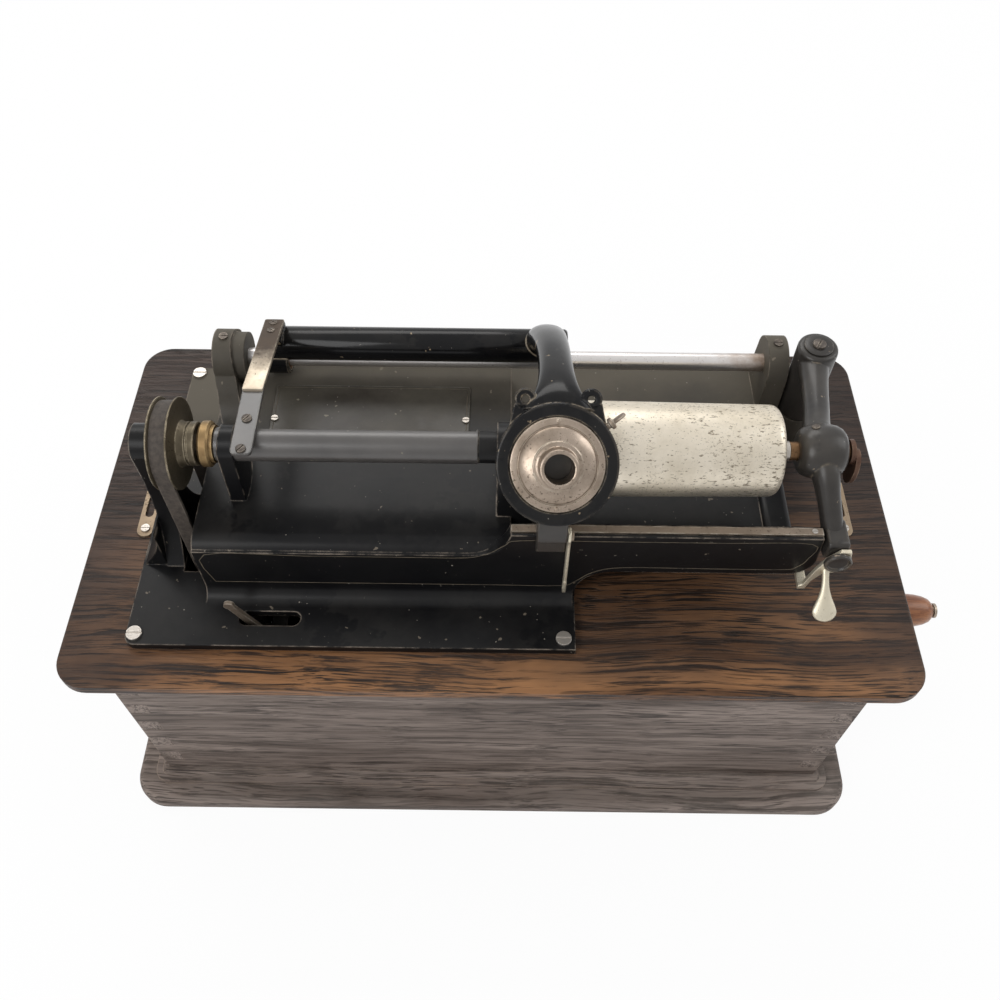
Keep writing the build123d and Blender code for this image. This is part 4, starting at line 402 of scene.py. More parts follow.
japanLooks = {
    "bedJapan": {
        "roughness": 0.30, "coat": 0.0, "coatRoughness": 0.12, "specular": 0.20,
        "base": (0.0042, 0.0042, 0.005), "cloud": (0.009, 0.0088, 0.0092), "dust": 0.17, "specks": 0.7, "wiped": 0.15, "dustTone": (0.10, 0.092, 0.08), "wear": 0.85,
        "edge": (0.36, 0.30, 0.24), "chips": 0.5, "chipTone": (0.30, 0.25, 0.19), "bump": 0.10,
        "rear": {"from": 0.000, "over": 0.060, "amount": 1.0, "tone": (0.112, 0.098, 0.076)},
        # painted highlight, partly rubbed wear, along the front top edge of the hood
        "edgeHighlight": {"y": -0.0609, "z": 0.2096, "width": 0.0008, "end": -0.012, "tone": (0.80, 0.72, 0.60)},
    },
    "armJapan": {
        "roughness": 0.15, "coat": 0.05, "coatRoughness": 0.06, "specular": 0.20,
        "base": (0.004, 0.004, 0.0048), "cloud": (0.008, 0.008, 0.0086),
        "dust": 0.16, "specks": 0.6, "wiped": 0.1, "dustTone": (0.10, 0.09, 0.075), "wear": 1.0,
        "edge": (0.46, 0.38, 0.28), "chips": 0.7, "chipTone": (0.34, 0.26, 0.17), "bump": 0.10,
    },
    "gateJapan": {
        "roughness": 0.28, "coat": 0.08, "coatRoughness": 0.15, "specular": 0.35,
        "base": (0.020, 0.018, 0.017), "cloud": (0.046, 0.041, 0.036),
        "dust": 0.28, "specks": 0.7, "wiped": 0.2, "dustTone": (0.12, 0.105, 0.085), "wear": 0.8,
        "edge": (0.30, 0.24, 0.17), "chips": 0.8, "chipTone": (0.26, 0.20, 0.14), "bump": 0.16,
    },
    "tubeJapan": {
        "roughness": 0.30, "coat": 0.0, "coatRoughness": 0.2, "specular": 0.9,
        "base": (0.042, 0.039, 0.037), "cloud": (0.080, 0.073, 0.068),
        "dust": 0.2, "specks": 0.5, "wiped": 0.5, "dustTone": (0.16, 0.14, 0.12), "wear": 0.6,
        "edge": (0.36, 0.33, 0.28), "chips": 0.5, "chipTone": (0.25, 0.22, 0.17), "bump": 0.12,
    },
    "plateJapan": {
        "roughness": 0.34, "coat": 0.0, "coatRoughness": 0.2, "specular": 0.4,
        "base": (0.030, 0.024, 0.018), "cloud": (0.075, 0.066, 0.050),
        "dust": 0.4, "specks": 0.9, "wiped": 0.3, "dustTone": (0.11, 0.10, 0.078), "wear": 0.5,
        "edge": (0.30, 0.27, 0.2), "chips": 0.7, "chipTone": (0.28, 0.25, 0.18), "bump": 0.12,
    },
}


def metalFinish(name, look):
    # plated or bare metal: clouded tone, pits, fine lines on turned pieces and a second tone past a border
    material, tree, shader, coords = startMaterial(name, look["roughness"], look.get("metallic", 0.9))
    place = coords.outputs["Object"]
    tones = look["tones"]
    cloudy = mathNode(tree, "MULTIPLY", rampNode(tree, noiseOf(tree, place, 55.0, 6.0, 0.7), 0.32, 0.72),
                      look["cloudy"], True)
    color = mixColor(tree, cloudy, tones["base"], tones["cloud"])
    rough = mathNode(tree, "ADD", mathNode(tree, "MULTIPLY", cloudy, 0.22), look["roughness"])
    if "fade" in look:
        fade = look["fade"]
        other = placeFade(tree, place, fade["axis"], fade["from"], fade["over"], 0.6, 160.0)
        stain = mixColor(tree, cloudy, fade["tone"], fade["cloud"])
        color = mixColor(tree, other, color, stain)
        rough = mathNode(tree, "ADD", rough, mathNode(tree, "MULTIPLY", other, 0.25))
    spots = useGroup(tree, pitting, place, {"Size": look["pitSize"], "Amount": look["pits"]})
    pits = spots.outputs["Mask"]
    if "pitEnd" in look:
        # pits crowd towards one end
        crowd = placeFade(tree, place, "X", look["pitEnd"]["from"], look["pitEnd"]["over"], 0.8, 40.0)
        dents = noiseOf(tree, place, 1.0, 3.0, 0.65, (330.0, 900.0, 900.0))
        broad = rampNode(tree, noiseOf(tree, place, 34.0, 4.0, 0.6), 0.4, 0.7, 0.0, 0.06)
        dents = mathNode(tree, "ADD", dents, mathNode(tree, "ADD", mathNode(tree, "MULTIPLY", crowd, 0.055), broad))
        pits = mathNode(tree, "MAXIMUM", pits, rampNode(tree, dents, 0.635, 0.69))
    color = mixColor(tree, mathNode(tree, "MULTIPLY", pits, 0.8), color, tones["pit"])
    rubbed = useGroup(tree, edgeWear, place, {"Amount": look["wear"], "Breakup": 130.0})
    color = mixColor(tree, rubbed.outputs["Mask"], color, tones["edge"])
    tree.links.new(color, shader.inputs["Base Color"])
    rough = mathNode(tree, "ADD", rough, mathNode(tree, "MULTIPLY", pits, 0.3), True)
    tree.links.new(rough, shader.inputs["Roughness"])
    height = pits
    if look.get("lines"):
        rings = useGroup(tree, turnedLines, place)
        height = mathNode(tree, "ADD", mathNode(tree, "MULTIPLY", rings.outputs["Value"], look["lines"]), pits)
    addBump(tree, shader, mathNode(tree, "MULTIPLY", height, -1.0), 0.22, 0.0002, 0.0003)
    return material


metalLooks = {
    "mandrelNickel": {
        "roughness": 0.33, "metallic": 0.85, "cloudy": 0.9, "pits": 0.7, "pitSize": 1100.0, "wear": 0.5,
        "lines": 0.35, "pitEnd": {"from": 0.085, "over": 0.05},
        "tones": {"base": (0.86, 0.78, 0.65), "cloud": (0.56, 0.495, 0.385), "pit": (0.15, 0.12, 0.08),
                  "edge": (0.76, 0.70, 0.56)},
    },
    "nickel": {
        "roughness": 0.24, "cloudy": 0.9, "pits": 1.0, "pitSize": 800.0, "wear": 0.5,
        "tones": {"base": (0.48, 0.39, 0.315), "cloud": (0.20, 0.155, 0.115), "pit": (0.055, 0.040, 0.028),
                  "edge": (0.80, 0.74, 0.60)},
    },
    "creamNickel": {
        "roughness": 0.34, "metallic": 0.7, "cloudy": 0.6, "pits": 0.6, "pitSize": 900.0, "wear": 0.3,
        "tones": {"base": (0.74, 0.68, 0.54), "cloud": (0.56, 0.49, 0.36), "pit": (0.2, 0.16, 0.1),
                  "edge": (0.82, 0.76, 0.62)},
    },
    "springNickel": {
        "roughness": 0.36, "metallic": 0.7, "cloudy": 0.8, "pits": 0.9, "pitSize": 600.0, "wear": 0.8,
        "tones": {"base": (0.66, 0.58, 0.46), "cloud": (0.36, 0.28, 0.20), "pit": (0.07, 0.05, 0.035),
                  "edge": (0.74, 0.66, 0.52)},
        "fade": {"axis": "Y", "from": 0.012, "over": 0.022, "tone": (0.075, 0.060, 0.050),
                 "cloud": (0.14, 0.105, 0.078)},
    },
    "catchMetal": {
        "roughness": 0.42, "metallic": 0.6, "cloudy": 0.7, "pits": 0.7, "pitSize": 800.0, "wear": 0.4,
        "tones": {"base": (0.36, 0.27, 0.18), "cloud": (0.22, 0.16, 0.105), "pit": (0.08, 0.055, 0.035),
                  "edge": (0.5, 0.42, 0.3)},
    },
    "steel": {
        "roughness": 0.27, "cloudy": 0.45, "pits": 0.35, "pitSize": 800.0, "wear": 0.3, "lines": 0.2,
        "tones": {"base": (0.80, 0.77, 0.75), "cloud": (0.60, 0.56, 0.53), "pit": (0.2, 0.13, 0.08),
                  "edge": (0.7, 0.68, 0.64)},
        "fade": {"axis": "X", "from": 0.115, "over": 0.035, "tone": (0.36, 0.26, 0.19), "cloud": (0.24, 0.15, 0.10)},
    },
    "screwSteel": {
        "roughness": 0.3, "cloudy": 0.6, "pits": 0.5, "pitSize": 1200.0, "wear": 0.6,
        "tones": {"base": (0.58, 0.54, 0.49), "cloud": (0.30, 0.26, 0.22), "pit": (0.10, 0.07, 0.05),
                  "edge": (0.75, 0.72, 0.66)},
    },
    "darkSteel": {
        "roughness": 0.4, "metallic": 0.7, "cloudy": 0.7, "pits": 0.6, "pitSize": 900.0, "wear": 0.8,
        "tones": {"base": (0.085, 0.075, 0.068), "cloud": (0.15, 0.12, 0.095), "pit": (0.035, 0.025, 0.02),
                  "edge": (0.42, 0.36, 0.29)},
    },
    "bladeSteel": {
        "roughness": 0.42, "metallic": 0.75, "cloudy": 0.8, "pits": 0.6, "pitSize": 700.0, "wear": 0.9,
        "tones": {"base": (0.30, 0.24, 0.185), "cloud": (0.16, 0.125, 0.092), "pit": (0.07, 0.05, 0.035),
                  "edge": (0.60, 0.54, 0.45)},
    },
    "brass": {
        "roughness": 0.36, "cloudy": 0.8, "pits": 0.6, "pitSize": 800.0, "wear": 0.6, "lines": 0.2,
        "tones": {"base": (0.36, 0.245, 0.115), "cloud": (0.17, 0.105, 0.052), "pit": (0.06, 0.04, 0.02),
                  "edge": (0.60, 0.45, 0.24)},
    },
    "pulleyBrass": {
        "roughness": 0.38, "metallic": 0.8, "cloudy": 0.8, "pits": 0.7, "pitSize": 700.0, "wear": 1.0, "lines": 0.3,
        "tones": {"base": (0.15, 0.125, 0.085), "cloud": (0.085, 0.066, 0.042), "pit": (0.03, 0.02, 0.012),
                  "edge": (0.62, 0.53, 0.38)},
    },
    "bronze": {
        "roughness": 0.4, "cloudy": 0.7, "pits": 0.5, "pitSize": 800.0, "wear": 0.4, "lines": 0.2,
        "tones": {"base": (0.26, 0.15, 0.075), "cloud": (0.14, 0.08, 0.042), "pit": (0.06, 0.035, 0.02),
                  "edge": (0.46, 0.30, 0.16)},
    },
    "redBrown": {
        "roughness": 0.42, "metallic": 0.6, "cloudy": 0.8, "pits": 0.7, "pitSize": 700.0, "wear": 0.6,
        "tones": {"base": (0.085, 0.042, 0.028), "cloud": (0.15, 0.085, 0.055), "pit": (0.03, 0.018, 0.012),
                  "edge": (0.36, 0.25, 0.17)},
    },
    "bluedSteel": {
        "roughness": 0.3, "cloudy": 0.5, "pits": 0.4, "pitSize": 900.0, "wear": 0.3,
        "tones": {"base": (0.10, 0.115, 0.15), "cloud": (0.20, 0.13, 0.09), "pit": (0.05, 0.035, 0.03),
                  "edge": (0.3, 0.3, 0.32)},
    },
}


def plainFinish(name, look):
    # leather, rubber, cast iron and the like: two tones of one stuff, with a fine bump
    material, tree, shader, coords = startMaterial(name, look["roughness"], look.get("metallic", 0.0), 0.0, 0.1, 0.3)
    place = coords.outputs["Object"]
    grain = noiseOf(tree, place, look["scale"], 6.0, 0.65)
    color = mixColor(tree, rampNode(tree, grain, 0.32, 0.7), look["base"], look["other"])
    rubbed = useGroup(tree, edgeWear, place, {"Amount": look["wear"], "Breakup": 110.0})
    color = mixColor(tree, rubbed.outputs["Mask"], color, look["edge"])
    tree.links.new(color, shader.inputs["Base Color"])
    addBump(tree, shader, grain, look["bump"], 0.0004, 0.0003)
    return material


plainLooks = {
    "frameIron": {"base": (0.035, 0.035, 0.034), "other": (0.075, 0.07, 0.064), "roughness": 0.55, "scale": 260.0,
                  "bump": 0.4, "metallic": 0.4, "wear": 0.5, "edge": (0.16, 0.14, 0.12)},
    "beltLeather": {"base": (0.048, 0.040, 0.034), "other": (0.098, 0.080, 0.066), "roughness": 0.62, "scale": 420.0,
                    "bump": 0.5, "wear": 0.8, "edge": (0.19, 0.16, 0.13)},
    "rubber": {"base": (0.02, 0.018, 0.016), "other": (0.05, 0.043, 0.036), "roughness": 0.7, "scale": 300.0,
               "bump": 0.2, "wear": 0.2, "edge": (0.1, 0.09, 0.08)},
    "stripePaint": {"base": (0.20, 0.165, 0.115), "other": (0.055, 0.047, 0.036), "roughness": 0.5, "scale": 140.0,
                    "bump": 0.1, "wear": 0.0, "edge": (0.2, 0.17, 0.12)},
}


def micaFinish():
    material, tree, shader, coords = startMaterial("mica", 0.3)
    flakes = addNode(tree, "ShaderNodeTexVoronoi", {"Scale": 260.0})
    tree.links.new(coords.outputs["Object"], flakes.inputs["Vector"])
    color = mixColor(tree, flakes.outputs["Distance"], (0.060, 0.052, 0.038), (0.035, 0.030, 0.022))
    tree.links.new(color, shader.inputs["Base Color"])
    return material


finishes = {"mica": micaFinish()}
for makeFinish, looks in ((oakFinish, oakLooks), (japanFinish, japanLooks), (metalFinish, metalLooks),
                          (plainFinish, plainLooks)):
    for name, look in looks.items():
        finishes[name] = makeFinish(name, look)
print("finishes built:", len(finishes))

# which CAD node wears which finish
nodeFinish = {
    "frontOak": ["case_front", "case_back"],
    "mouldingOak": ["base_moulding"],
    "sideOak": ["case_left", "case_right"],
    "innerOak": ["bottom_board", "corner_blocks"],
    "boardOak": ["top_board"],
    "gripWood": ["crank_grip"],
    "bedJapan": ["bedplate"],
    "armJapan": ["carriage_arm", "rest_block"],
    "gateJapan": ["gate_arm"],
    "tubeJapan": ["screw_guard", "nut_strip"],
    "plateJapan": ["hood_plate"],
    "mandrelNickel": ["mandrel"],
    "nickel": ["reproducer", "crank_arm"],
    "creamNickel": ["gate_latch", "lift_lever"],
    "springNickel": ["nut_spring"],
    "catchMetal": ["catch_plates", "hinge_case_leaves", "hinge_board_leaves"],
    "bladeSteel": ["straight_edge", "start_lever"],
    "steel": ["back_rod", "winding_arbor", "pawl", "drive_shaft", "governor", "stylus_bar"],
    "screwSteel": ["deck_screws", "plate_screws", "hanger_screws", "feed_shaft"],
    "darkSteel": ["gate_pin", "post_screws", "strip_screws", "ring_screw"],
    "bluedSteel": ["mainspring"],
    "brass": ["crank_bush", "shaft_collars", "half_nut", "intermediate_gear", "spring_barrel", "drive_pulley",
              "governor_weight_set", "floating_weight"],
    "pulleyBrass": ["driven_pulley"],
    "redBrown": ["centre_lock"],
    "bronze": ["shaft_bushes", "carriage_bushes", "centre_pin"],
    "frameIron": ["motor_frame"],
    "beltLeather": ["drive_belt", "brake_pad"],
    "mica": ["diaphragm"],
    "rubber": ["gaskets"],
}
for finish, names in nodeFinish.items():
    for name in names:
        piece = cadNodes[name]
        piece.data.materials.clear()
        piece.data.materials.append(finishes[finish])
print("nodes without a finish:", sorted(set(cadNodes) - {n for names in nodeFinish.values() for n in names}))


# shapes, all in mm until they reach the mesh

mm = 0.001
boardTop = 164.7


def closeRing(bm, rings):
    for a, b in zip(rings[:-1], rings[1:]):
        for i in range(len(a)):
            j = (i + 1) % len(a)
            bm.faces.new((a[i], a[j], b[j], b[i]))


def capEnds(bm, rings):
    bm.faces.new(list(reversed(rings[0])))
    bm.faces.new(rings[-1])


def addLathe(bm, profile, origin, axis, steps=96, closed=True):
    # (radius, along) pairs turned about an axis; a closed profile leaves a bore
    axis = Vector(axis).normalized()
    side = Vector((1, 0, 0)) if abs(axis.x) < 0.9 else Vector((0, 1, 0))
    across = (side - axis * side.dot(axis)).normalized()
    up = axis.cross(across)
    rings = []
    for radius, along in profile:
        ring = []
        for i in range(steps):
            turn = 2 * pi * i / steps
            offset = (across * cos(turn) + up * sin(turn)) * radius
            ring.append(bm.verts.new((Vector(origin) + axis * along + offset) * mm))
        rings.append(ring)
    if closed:
        closeRing(bm, rings + [rings[0]])
    else:
        closeRing(bm, rings)
        capEnds(bm, rings)


def smoothLine(points, steps):
    # a Catmull-Rom line through tuples of numbers
    line = []
    for i in range(len(points) - 1):
        p0 = points[max(i - 1, 0)]
        p1, p2 = points[i], points[i + 1]
        p3 = points[min(i + 2, len(points) - 1)]
        for k in range(steps):
            t = k / steps
            line.append(tuple(
                0.5 * (2 * b + (c - a) * t + (2 * a - 5 * b + 4 * c - d) * t * t + (3 * b - a - 3 * c + d) * t ** 3)
                for a, b, c, d in zip(p0, p1, p2, p3)))
    line.append(tuple(points[-1]))
    return line


def addSweep(bm, points, wide=(1, 0, 0), steps=40, smooth=6, power=2.0, closed=False):
    # an oval of (x, y, z, width, thickness) along its points; a power over 2 squares it
    line = smoothLine(points, smooth) if smooth else list(points)
    wide = Vector(wide).normalized()
    rings = []
    for i, p in enumerate(line):
        before = line[i - 1] if closed else line[max(i - 1, 0)]
        after = line[(i + 1) % len(line)] if closed else line[min(i + 1, len(line) - 1)]
        way = (Vector(after[:3]) - Vector(before[:3])).normalized()
        across = (wide - way * wide.dot(way)).normalized()
        up = way.cross(across)
        ring = []
        for k in range(steps):
            turn = 2 * pi * k / steps
            c, s = cos(turn), sin(turn)
            c = abs(c) ** (2 / power) * (1 if c >= 0 else -1)
            s = abs(s) ** (2 / power) * (1 if s >= 0 else -1)
            ring.append(bm.verts.new((Vector(p[:3]) + across * c * p[3] / 2 + up * s * p[4] / 2) * mm))
        rings.append(ring)
    if closed:
        closeRing(bm, rings + [rings[0]])
    else:
        closeRing(bm, rings)
        capEnds(bm, rings)


def addPlate(bm, outline, origin, xWay, yWay, thickness):
    # a flat plate pushed out along xWay cross yWay
    origin, xWay, yWay = Vector(origin), Vector(xWay), Vector(yWay)
    out = xWay.cross(yWay)
    rings = [[bm.verts.new((origin + xWay * x + yWay * y + out * rise) * mm) for x, y in outline]
             for rise in (0, thickness)]
    closeRing(bm, rings)
    capEnds(bm, rings)


def makePiece(name, bm, body, finish, replaced=(), sharp=35, bevel=0.0):
    bmesh.ops.recalc_face_normals(bm, faces=bm.faces[:])
    for face in bm.faces:
        face.smooth = True
    for edge in bm.edges:
        if len(edge.link_faces) == 2 and edge.calc_face_angle(0) > radians(sharp):
            edge.smooth = False
    mesh = bpy.data.meshes.new(name)
    bm.to_mesh(mesh)
    bm.free()
    piece = bpy.data.objects.new(name, mesh)
    bpy.context.scene.collection.objects.link(piece)
    mesh.materials.append(finishes[finish])
    if bevel > 0:
        soft = piece.modifiers.new("softEdges", "BEVEL")
        soft.width = bevel * mm
        soft.segments = 3
        soft.limit_method = "ANGLE"
        soft.angle_limit = radians(40)
    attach(piece, body)
    if replaced:
        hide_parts(*replaced)
    return piece


# mandrel: a thin tapered drum, closed and a little domed at the right
mandrelDrum = {
    "centre": (-24.0, boardTop + 78.2),
    "left": 26.0, "right": 133.8,
    "leftRadius": 22.9, "rightRadius": 21.7,
    "wall": 2.2, "round": 4.2, "bore": 4.9,
}


def buildMandrel(m):
    profile = [(m["leftRadius"] - m["wall"], m["left"]), (m["leftRadius"] - 0.6, m["left"]),
               (m["leftRadius"], m["left"] + 0.7)]
    turnCentre = m["right"] - m["round"]
    for i in range(9):
        turn = pi / 2 * i / 8
        profile.append((m["rightRadius"] - m["round"] * (1 - cos(turn)), turnCentre + m["round"] * sin(turn)))
    profile += [(11.0, m["right"] + 0.5), (m["bore"] + 1.0, m["right"] + 0.7), (m["bore"], m["right"] + 0.6),
                (m["bore"], m["right"] - 3.0), (15.0, m["right"] - 3.0), (18.6, m["right"] - 5.0),
                (m["rightRadius"] - m["wall"], m["right"] - 9.0)]
    bm = bmesh.new()
    addLathe(bm, profile, (0, *m["centre"]), (1, 0, 0), 180)
    makePiece("mandrelDrum", bm, "mandrel_group", "mandrelNickel", ("mandrel",))


buildMandrel(mandrelDrum)

# the plane of the reproducer ring: x across, y up its face, along out of its face
ringPlace = {"centre": (28.5, -54.0, boardTop + 104.0), "lean": 46.0}
ringOut = Vector((0, -cos(radians(ringPlace["lean"])), sin(radians(ringPlace["lean"]))))
ringUp = Vector((0, sin(radians(ringPlace["lean"])), cos(radians(ringPlace["lean"]))))


def onRing(x, y, along=0.0):
    return Vector(ringPlace["centre"]) + Vector((x, 0, 0)) + ringUp * y + ringOut * along


# carriage: a bar over the rod, an arch and the ring that holds the reproducer
carriageCasting = {
    "bar": (54.5, boardTop + 66.0), "barRadius": 8.9, "barLeft": -121.5, "barRight": 38.0, "barRound": 1.4,
    "rod": (53.0, boardTop + 57.0), "clear": 5.76,
    "bearing": [(6.6, 0), (8.1, 0), (8.75, 0.7), (8.75, 11.3), (8.1, 12), (6.6, 12)],
    "arch": [
        (26.0, 54.5, 66.0, 20.0, 15.4), (26.4, 47.0, 79.0, 20.0, 14.6), (27.2, 35.0, 89.5, 18.0, 13.6),
        (28.0, 20.0, 99.0, 16.6, 12.6), (28.4, 4.0, 107.3, 16.0, 11.6), (28.5, -12.0, 114.4, 16.8, 10.2),
        (28.5, -23.0, 118.2, 19.5, 8.6), (28.5, -30.0, 119.0, 24.5, 7.4), (28.5, -34.2, 117.6, 31.0, 6.2),
    ],
    "ring": [(19.3, -7), (26.2, -7), (27, -6.2), (27, -0.75), (26.85, -0.35), (26.5, -0.08), (26.1, 0),
             (21.5, 0), (21.1, -0.3), (21.0, -5), (19.3, -5)],
    "ear": {"x": 14.38, "y": 28.39,
            "profile": [(1.6, 0), (4.2, 0), (4.8, 0.6), (4.8, 2.4), (4.2, 3), (2.0, 3), (1.6, 2.6)],
            "web": [(2, 25.9), (3, 21.5), (14, 17.5), (21.3, 16.4), (19.1, 26.6), (16.6, 25.8), (12.6, 25.6),
                    (10.0, 27.6)]},
    "pad": {"left": -120.5, "right": -110.5, "front": 46.0, "back": 60.0, "low": 72.0, "high": 75.5},
}


def barSection(c, radius):
    # the bar's round outline, hollowed where the rod passes under it
    barY, barZ = c["bar"]
    rodY, rodZ = c["rod"]
    apart = hypot(rodY - barY, rodZ - barZ)
    lean = atan2(rodZ - barZ, rodY - barY)
    outer = acos((apart ** 2 + radius ** 2 - c["clear"] ** 2) / (2 * apart * radius))
    inner = acos((apart ** 2 + c["clear"] ** 2 - radius ** 2) / (2 * apart * c["clear"]))
    section = []
    for i in range(65):
        turn = lean + outer + (2 * pi - 2 * outer) * i / 64
        section.append((barY + radius * cos(turn), barZ + radius * sin(turn)))
    for i in range(1, 16):
        turn = lean + pi + inner - 2 * inner * i / 16
        section.append((rodY + c["clear"] * cos(turn), rodZ + c["clear"] * sin(turn)))
    return section


def buildCarriage(c):
    bm = bmesh.new()
    rings = []
    for x, drop in ((c["barLeft"], 1.4), (c["barLeft"] + 0.4, 0.6), (c["barLeft"] + 1.4, 0.0),
                    (c["barRight"] - 1.4, 0.0), (c["barRight"] - 0.4, 0.6), (c["barRight"], 1.4)):
        rings.append([bm.verts.new((x * mm, y * mm, z * mm)) for y, z in barSection(c, c["barRadius"] - drop)])
    closeRing(bm, rings)
    capEnds(bm, rings)
    for x in (c["barLeft"], c["barRight"] - 12):
        addLathe(bm, c["bearing"], (x, *c["rod"]), (1, 0, 0), 72)
    addSweep(bm, [(x, y, boardTop + h, w, t) for x, y, h, w, t in c["arch"]], (1, 0, 0), 44, 8, 2.2)
    addLathe(bm, c["ring"], ringPlace["centre"], ringOut, 144)
    ear = c["ear"]
    for side in (-1, 1):
        addLathe(bm, ear["profile"], onRing(side * ear["x"], ear["y"], -7), ringOut, 40)
        web = [(side * x, y) for x, y in ear["web"]]
        addPlate(bm, web if side > 0 else web[::-1], onRing(0, 0, -7), (1, 0, 0), ringUp, 3.0)
    pad = c["pad"]
    addPlate(bm, [(pad["left"], pad["front"]), (pad["right"], pad["front"]), (pad["right"], pad["back"]),
                  (pad["left"], pad["back"])], (0, 0, boardTop + pad["low"]), (1, 0, 0), (0, 1, 0),
             pad["high"] - pad["low"])
    makePiece("carriageCasting", bm, "arm", "armJapan", ("carriage_arm",))


buildCarriage(carriageCasting)

# reproducer: turned shell with a stepped face, a dome and the neck for the horn
reproducerShell = {
    "profile": [
        (16.0, -5.0), (20.3, -5.0), (20.9, -4.4), (20.9, 0.1), (20.6, 0.5), (20.2, 0.6), (17.75, 0.6), (17.6, 0.25),
        (17.2, 0.25), (17.05, 0.9), (16.4, 1.5), (15.6, 2.05), (14.6, 2.62), (13.5, 3.15), (12.4, 3.6), (11.3, 3.9),
        (11.0, 4.0), (11.0, 4.6), (10.7, 4.9), (9.3, 4.9), (8.75, 5.2), (8.5, 5.7), (8.5, 15.3), (8.3, 15.75),
        (7.9, 16.0), (6.9, 16.0), (6.55, 15.8), (6.4, 15.4), (6.4, -1.2), (16.0, -1.2),
    ],
    "pins": [(0, 19.2), (0, -19.2)],
    "pin": [(0.05, 0.5), (0.95, 0.5), (0.95, 0.95), (0.75, 1.2), (0.05, 1.3)],
}


def buildReproducer(r):
    bm = bmesh.new()
    addLathe(bm, r["profile"], ringPlace["centre"], ringOut, 144)
    for x, y in r["pins"]:
        addLathe(bm, r["pin"], onRing(x, y), ringOut, 24, False)
    makePiece("reproducerShell", bm, "arm", "nickel", ("reproducer",))


buildReproducer(reproducerShell)

# gate: hub on its upright pin, a waisted arm, the outer bearing boss, a leg and a rounded foot
gateCasting = {
    "hub": (165.0, 42.0),
    "hubProfile": [(4.3, 34), (9.5, 34), (10.3, 34.9), (10.3, 78.8), (10.0, 80.0), (9.2, 80.8), (8.2, 81.0),
                   (6.5, 81.0), (6.3, 80.7), (4.3, 80.7)],
    "limb": [
        (163.6, 37.0, 72.0, 15.5, 15.0), (161.5, 22.0, 73.0, 13.2, 12.6), (158.5, 4.0, 75.0, 12.6, 13.0),
        (156.0, -8.0, 77.0, 13.0, 14.0), (155.2, -16.0, 78.0, 15.5, 17.0), (155.0, -24.0, 78.2, 16.5, 18.0),
        (155.8, -34.0, 76.2, 13.6, 15.0), (157.6, -43.0, 69.4, 11.0, 11.6), (159.8, -51.0, 61.0, 10.4, 10.2),
        (161.2, -57.0, 54.5, 10.0, 9.6),
    ],
    "boss": (-24.0, boardTop + 78.2),
    "bossProfile": [(4.6, 143.7), (7.4, 143.7), (9.4, 144.4), (11.2, 146.0), (12.4, 148.4), (12.9, 151.4),
                    (13.0, 155.0), (12.9, 158.6), (12.3, 161.6), (11.0, 163.9), (9.2, 165.4), (7.4, 166.0),
                    (4.6, 166.0)],
    "oilHole": (150.5, -19.0, boardTop + 89.6),
    "oilScrew": [(0.05, -1.5), (2.0, -1.5), (2.0, 0.9), (1.5, 1.3), (0.05, 1.4)],
    "foot": [(-66, 52.0), (-65.4, 50.0), (-64, 48.6), (-61.8, 48.0), (-54.5, 48.0), (-52, 48.8), (-50.5, 50.6),
             (-50, 53.0), (-50, 59.6), (-51.4, 61.0), (-64.6, 61.0), (-66, 59.6)],
    "footLeft": 156.5, "footWidth": 10.0,
}


def buildGate(g):
    bm = bmesh.new()
    addLathe(bm, g["hubProfile"], (*g["hub"], boardTop), (0, 0, 1), 96)
    addSweep(bm, [(x, y, boardTop + h, w, t) for x, y, h, w, t in g["limb"]], (1, 0, 0), 44, 8, 2.1)
    addLathe(bm, g["bossProfile"], (0, *g["boss"]), (1, 0, 0), 96)
    makePiece("gateCasting", bm, "gate", "gateJapan", ("gate_arm",))
    bm = bmesh.new()
    addPlate(bm, g["foot"], (g["footLeft"], 0, boardTop), (0, 1, 0), (0, 0, 1), g["footWidth"])
    makePiece("gateFoot", bm, "gate", "gateJapan", bevel=1.1)
    bm = bmesh.new()
    addLathe(bm, g["oilScrew"], g["oilHole"], (-0.15, 0.35, 1.0), 32, False)
    makePiece("gateOilScrew", bm, "gate", "darkSteel")


buildGate(gateCasting)

# latch on the gate's foot: a plate, a finger under the beam, a cup over its pivot and a drop handle
gateLatch = {
    "plate": [(167.0, 59.0), (168.3, 52.0), (168.3, 46.6), (166.4, 43.0), (162.6, 41.2), (158.0, 39.6),
              (154.6, 33.4), (153.4, 26.0), (149.4, 25.6), (149.4, 28.5), (151.4, 29.6), (152.6, 36.0),
              (154.2, 43.0), (157.4, 52.0), (162.3, 59.0)],
    "back": -66.3, "thickness": 2.2,
    "finger": [(149.5, 25.7), (154.0, 25.7), (154.0, 28.7), (149.5, 28.7)],
    "cup": [(0.05, 0.0), (5.9, 0.0), (6.4, 0.5), (6.4, 2.2), (6.0, 2.7), (5.3, 2.7), (4.7, 1.7), (0.05, 1.5)],
    "pivot": (161.8, -68.5, boardTop + 52.4),
    "handle": (159.0, -67.4, boardTop + 44.0), "handleDrop": 40.0,
    # along, width, thickness
    "drop": [(-2.0, 3.4, 2.3), (2.0, 3.3, 2.4), (6.5, 3.4, 2.7), (10.5, 4.4, 3.0), (14.5, 6.8, 3.5), (18.0, 9.8, 4.0),
             (21.0, 11.6, 4.2), (23.4, 10.4, 3.8), (25.2, 6.6, 2.6), (26.0, 1.6, 0.9)],
}


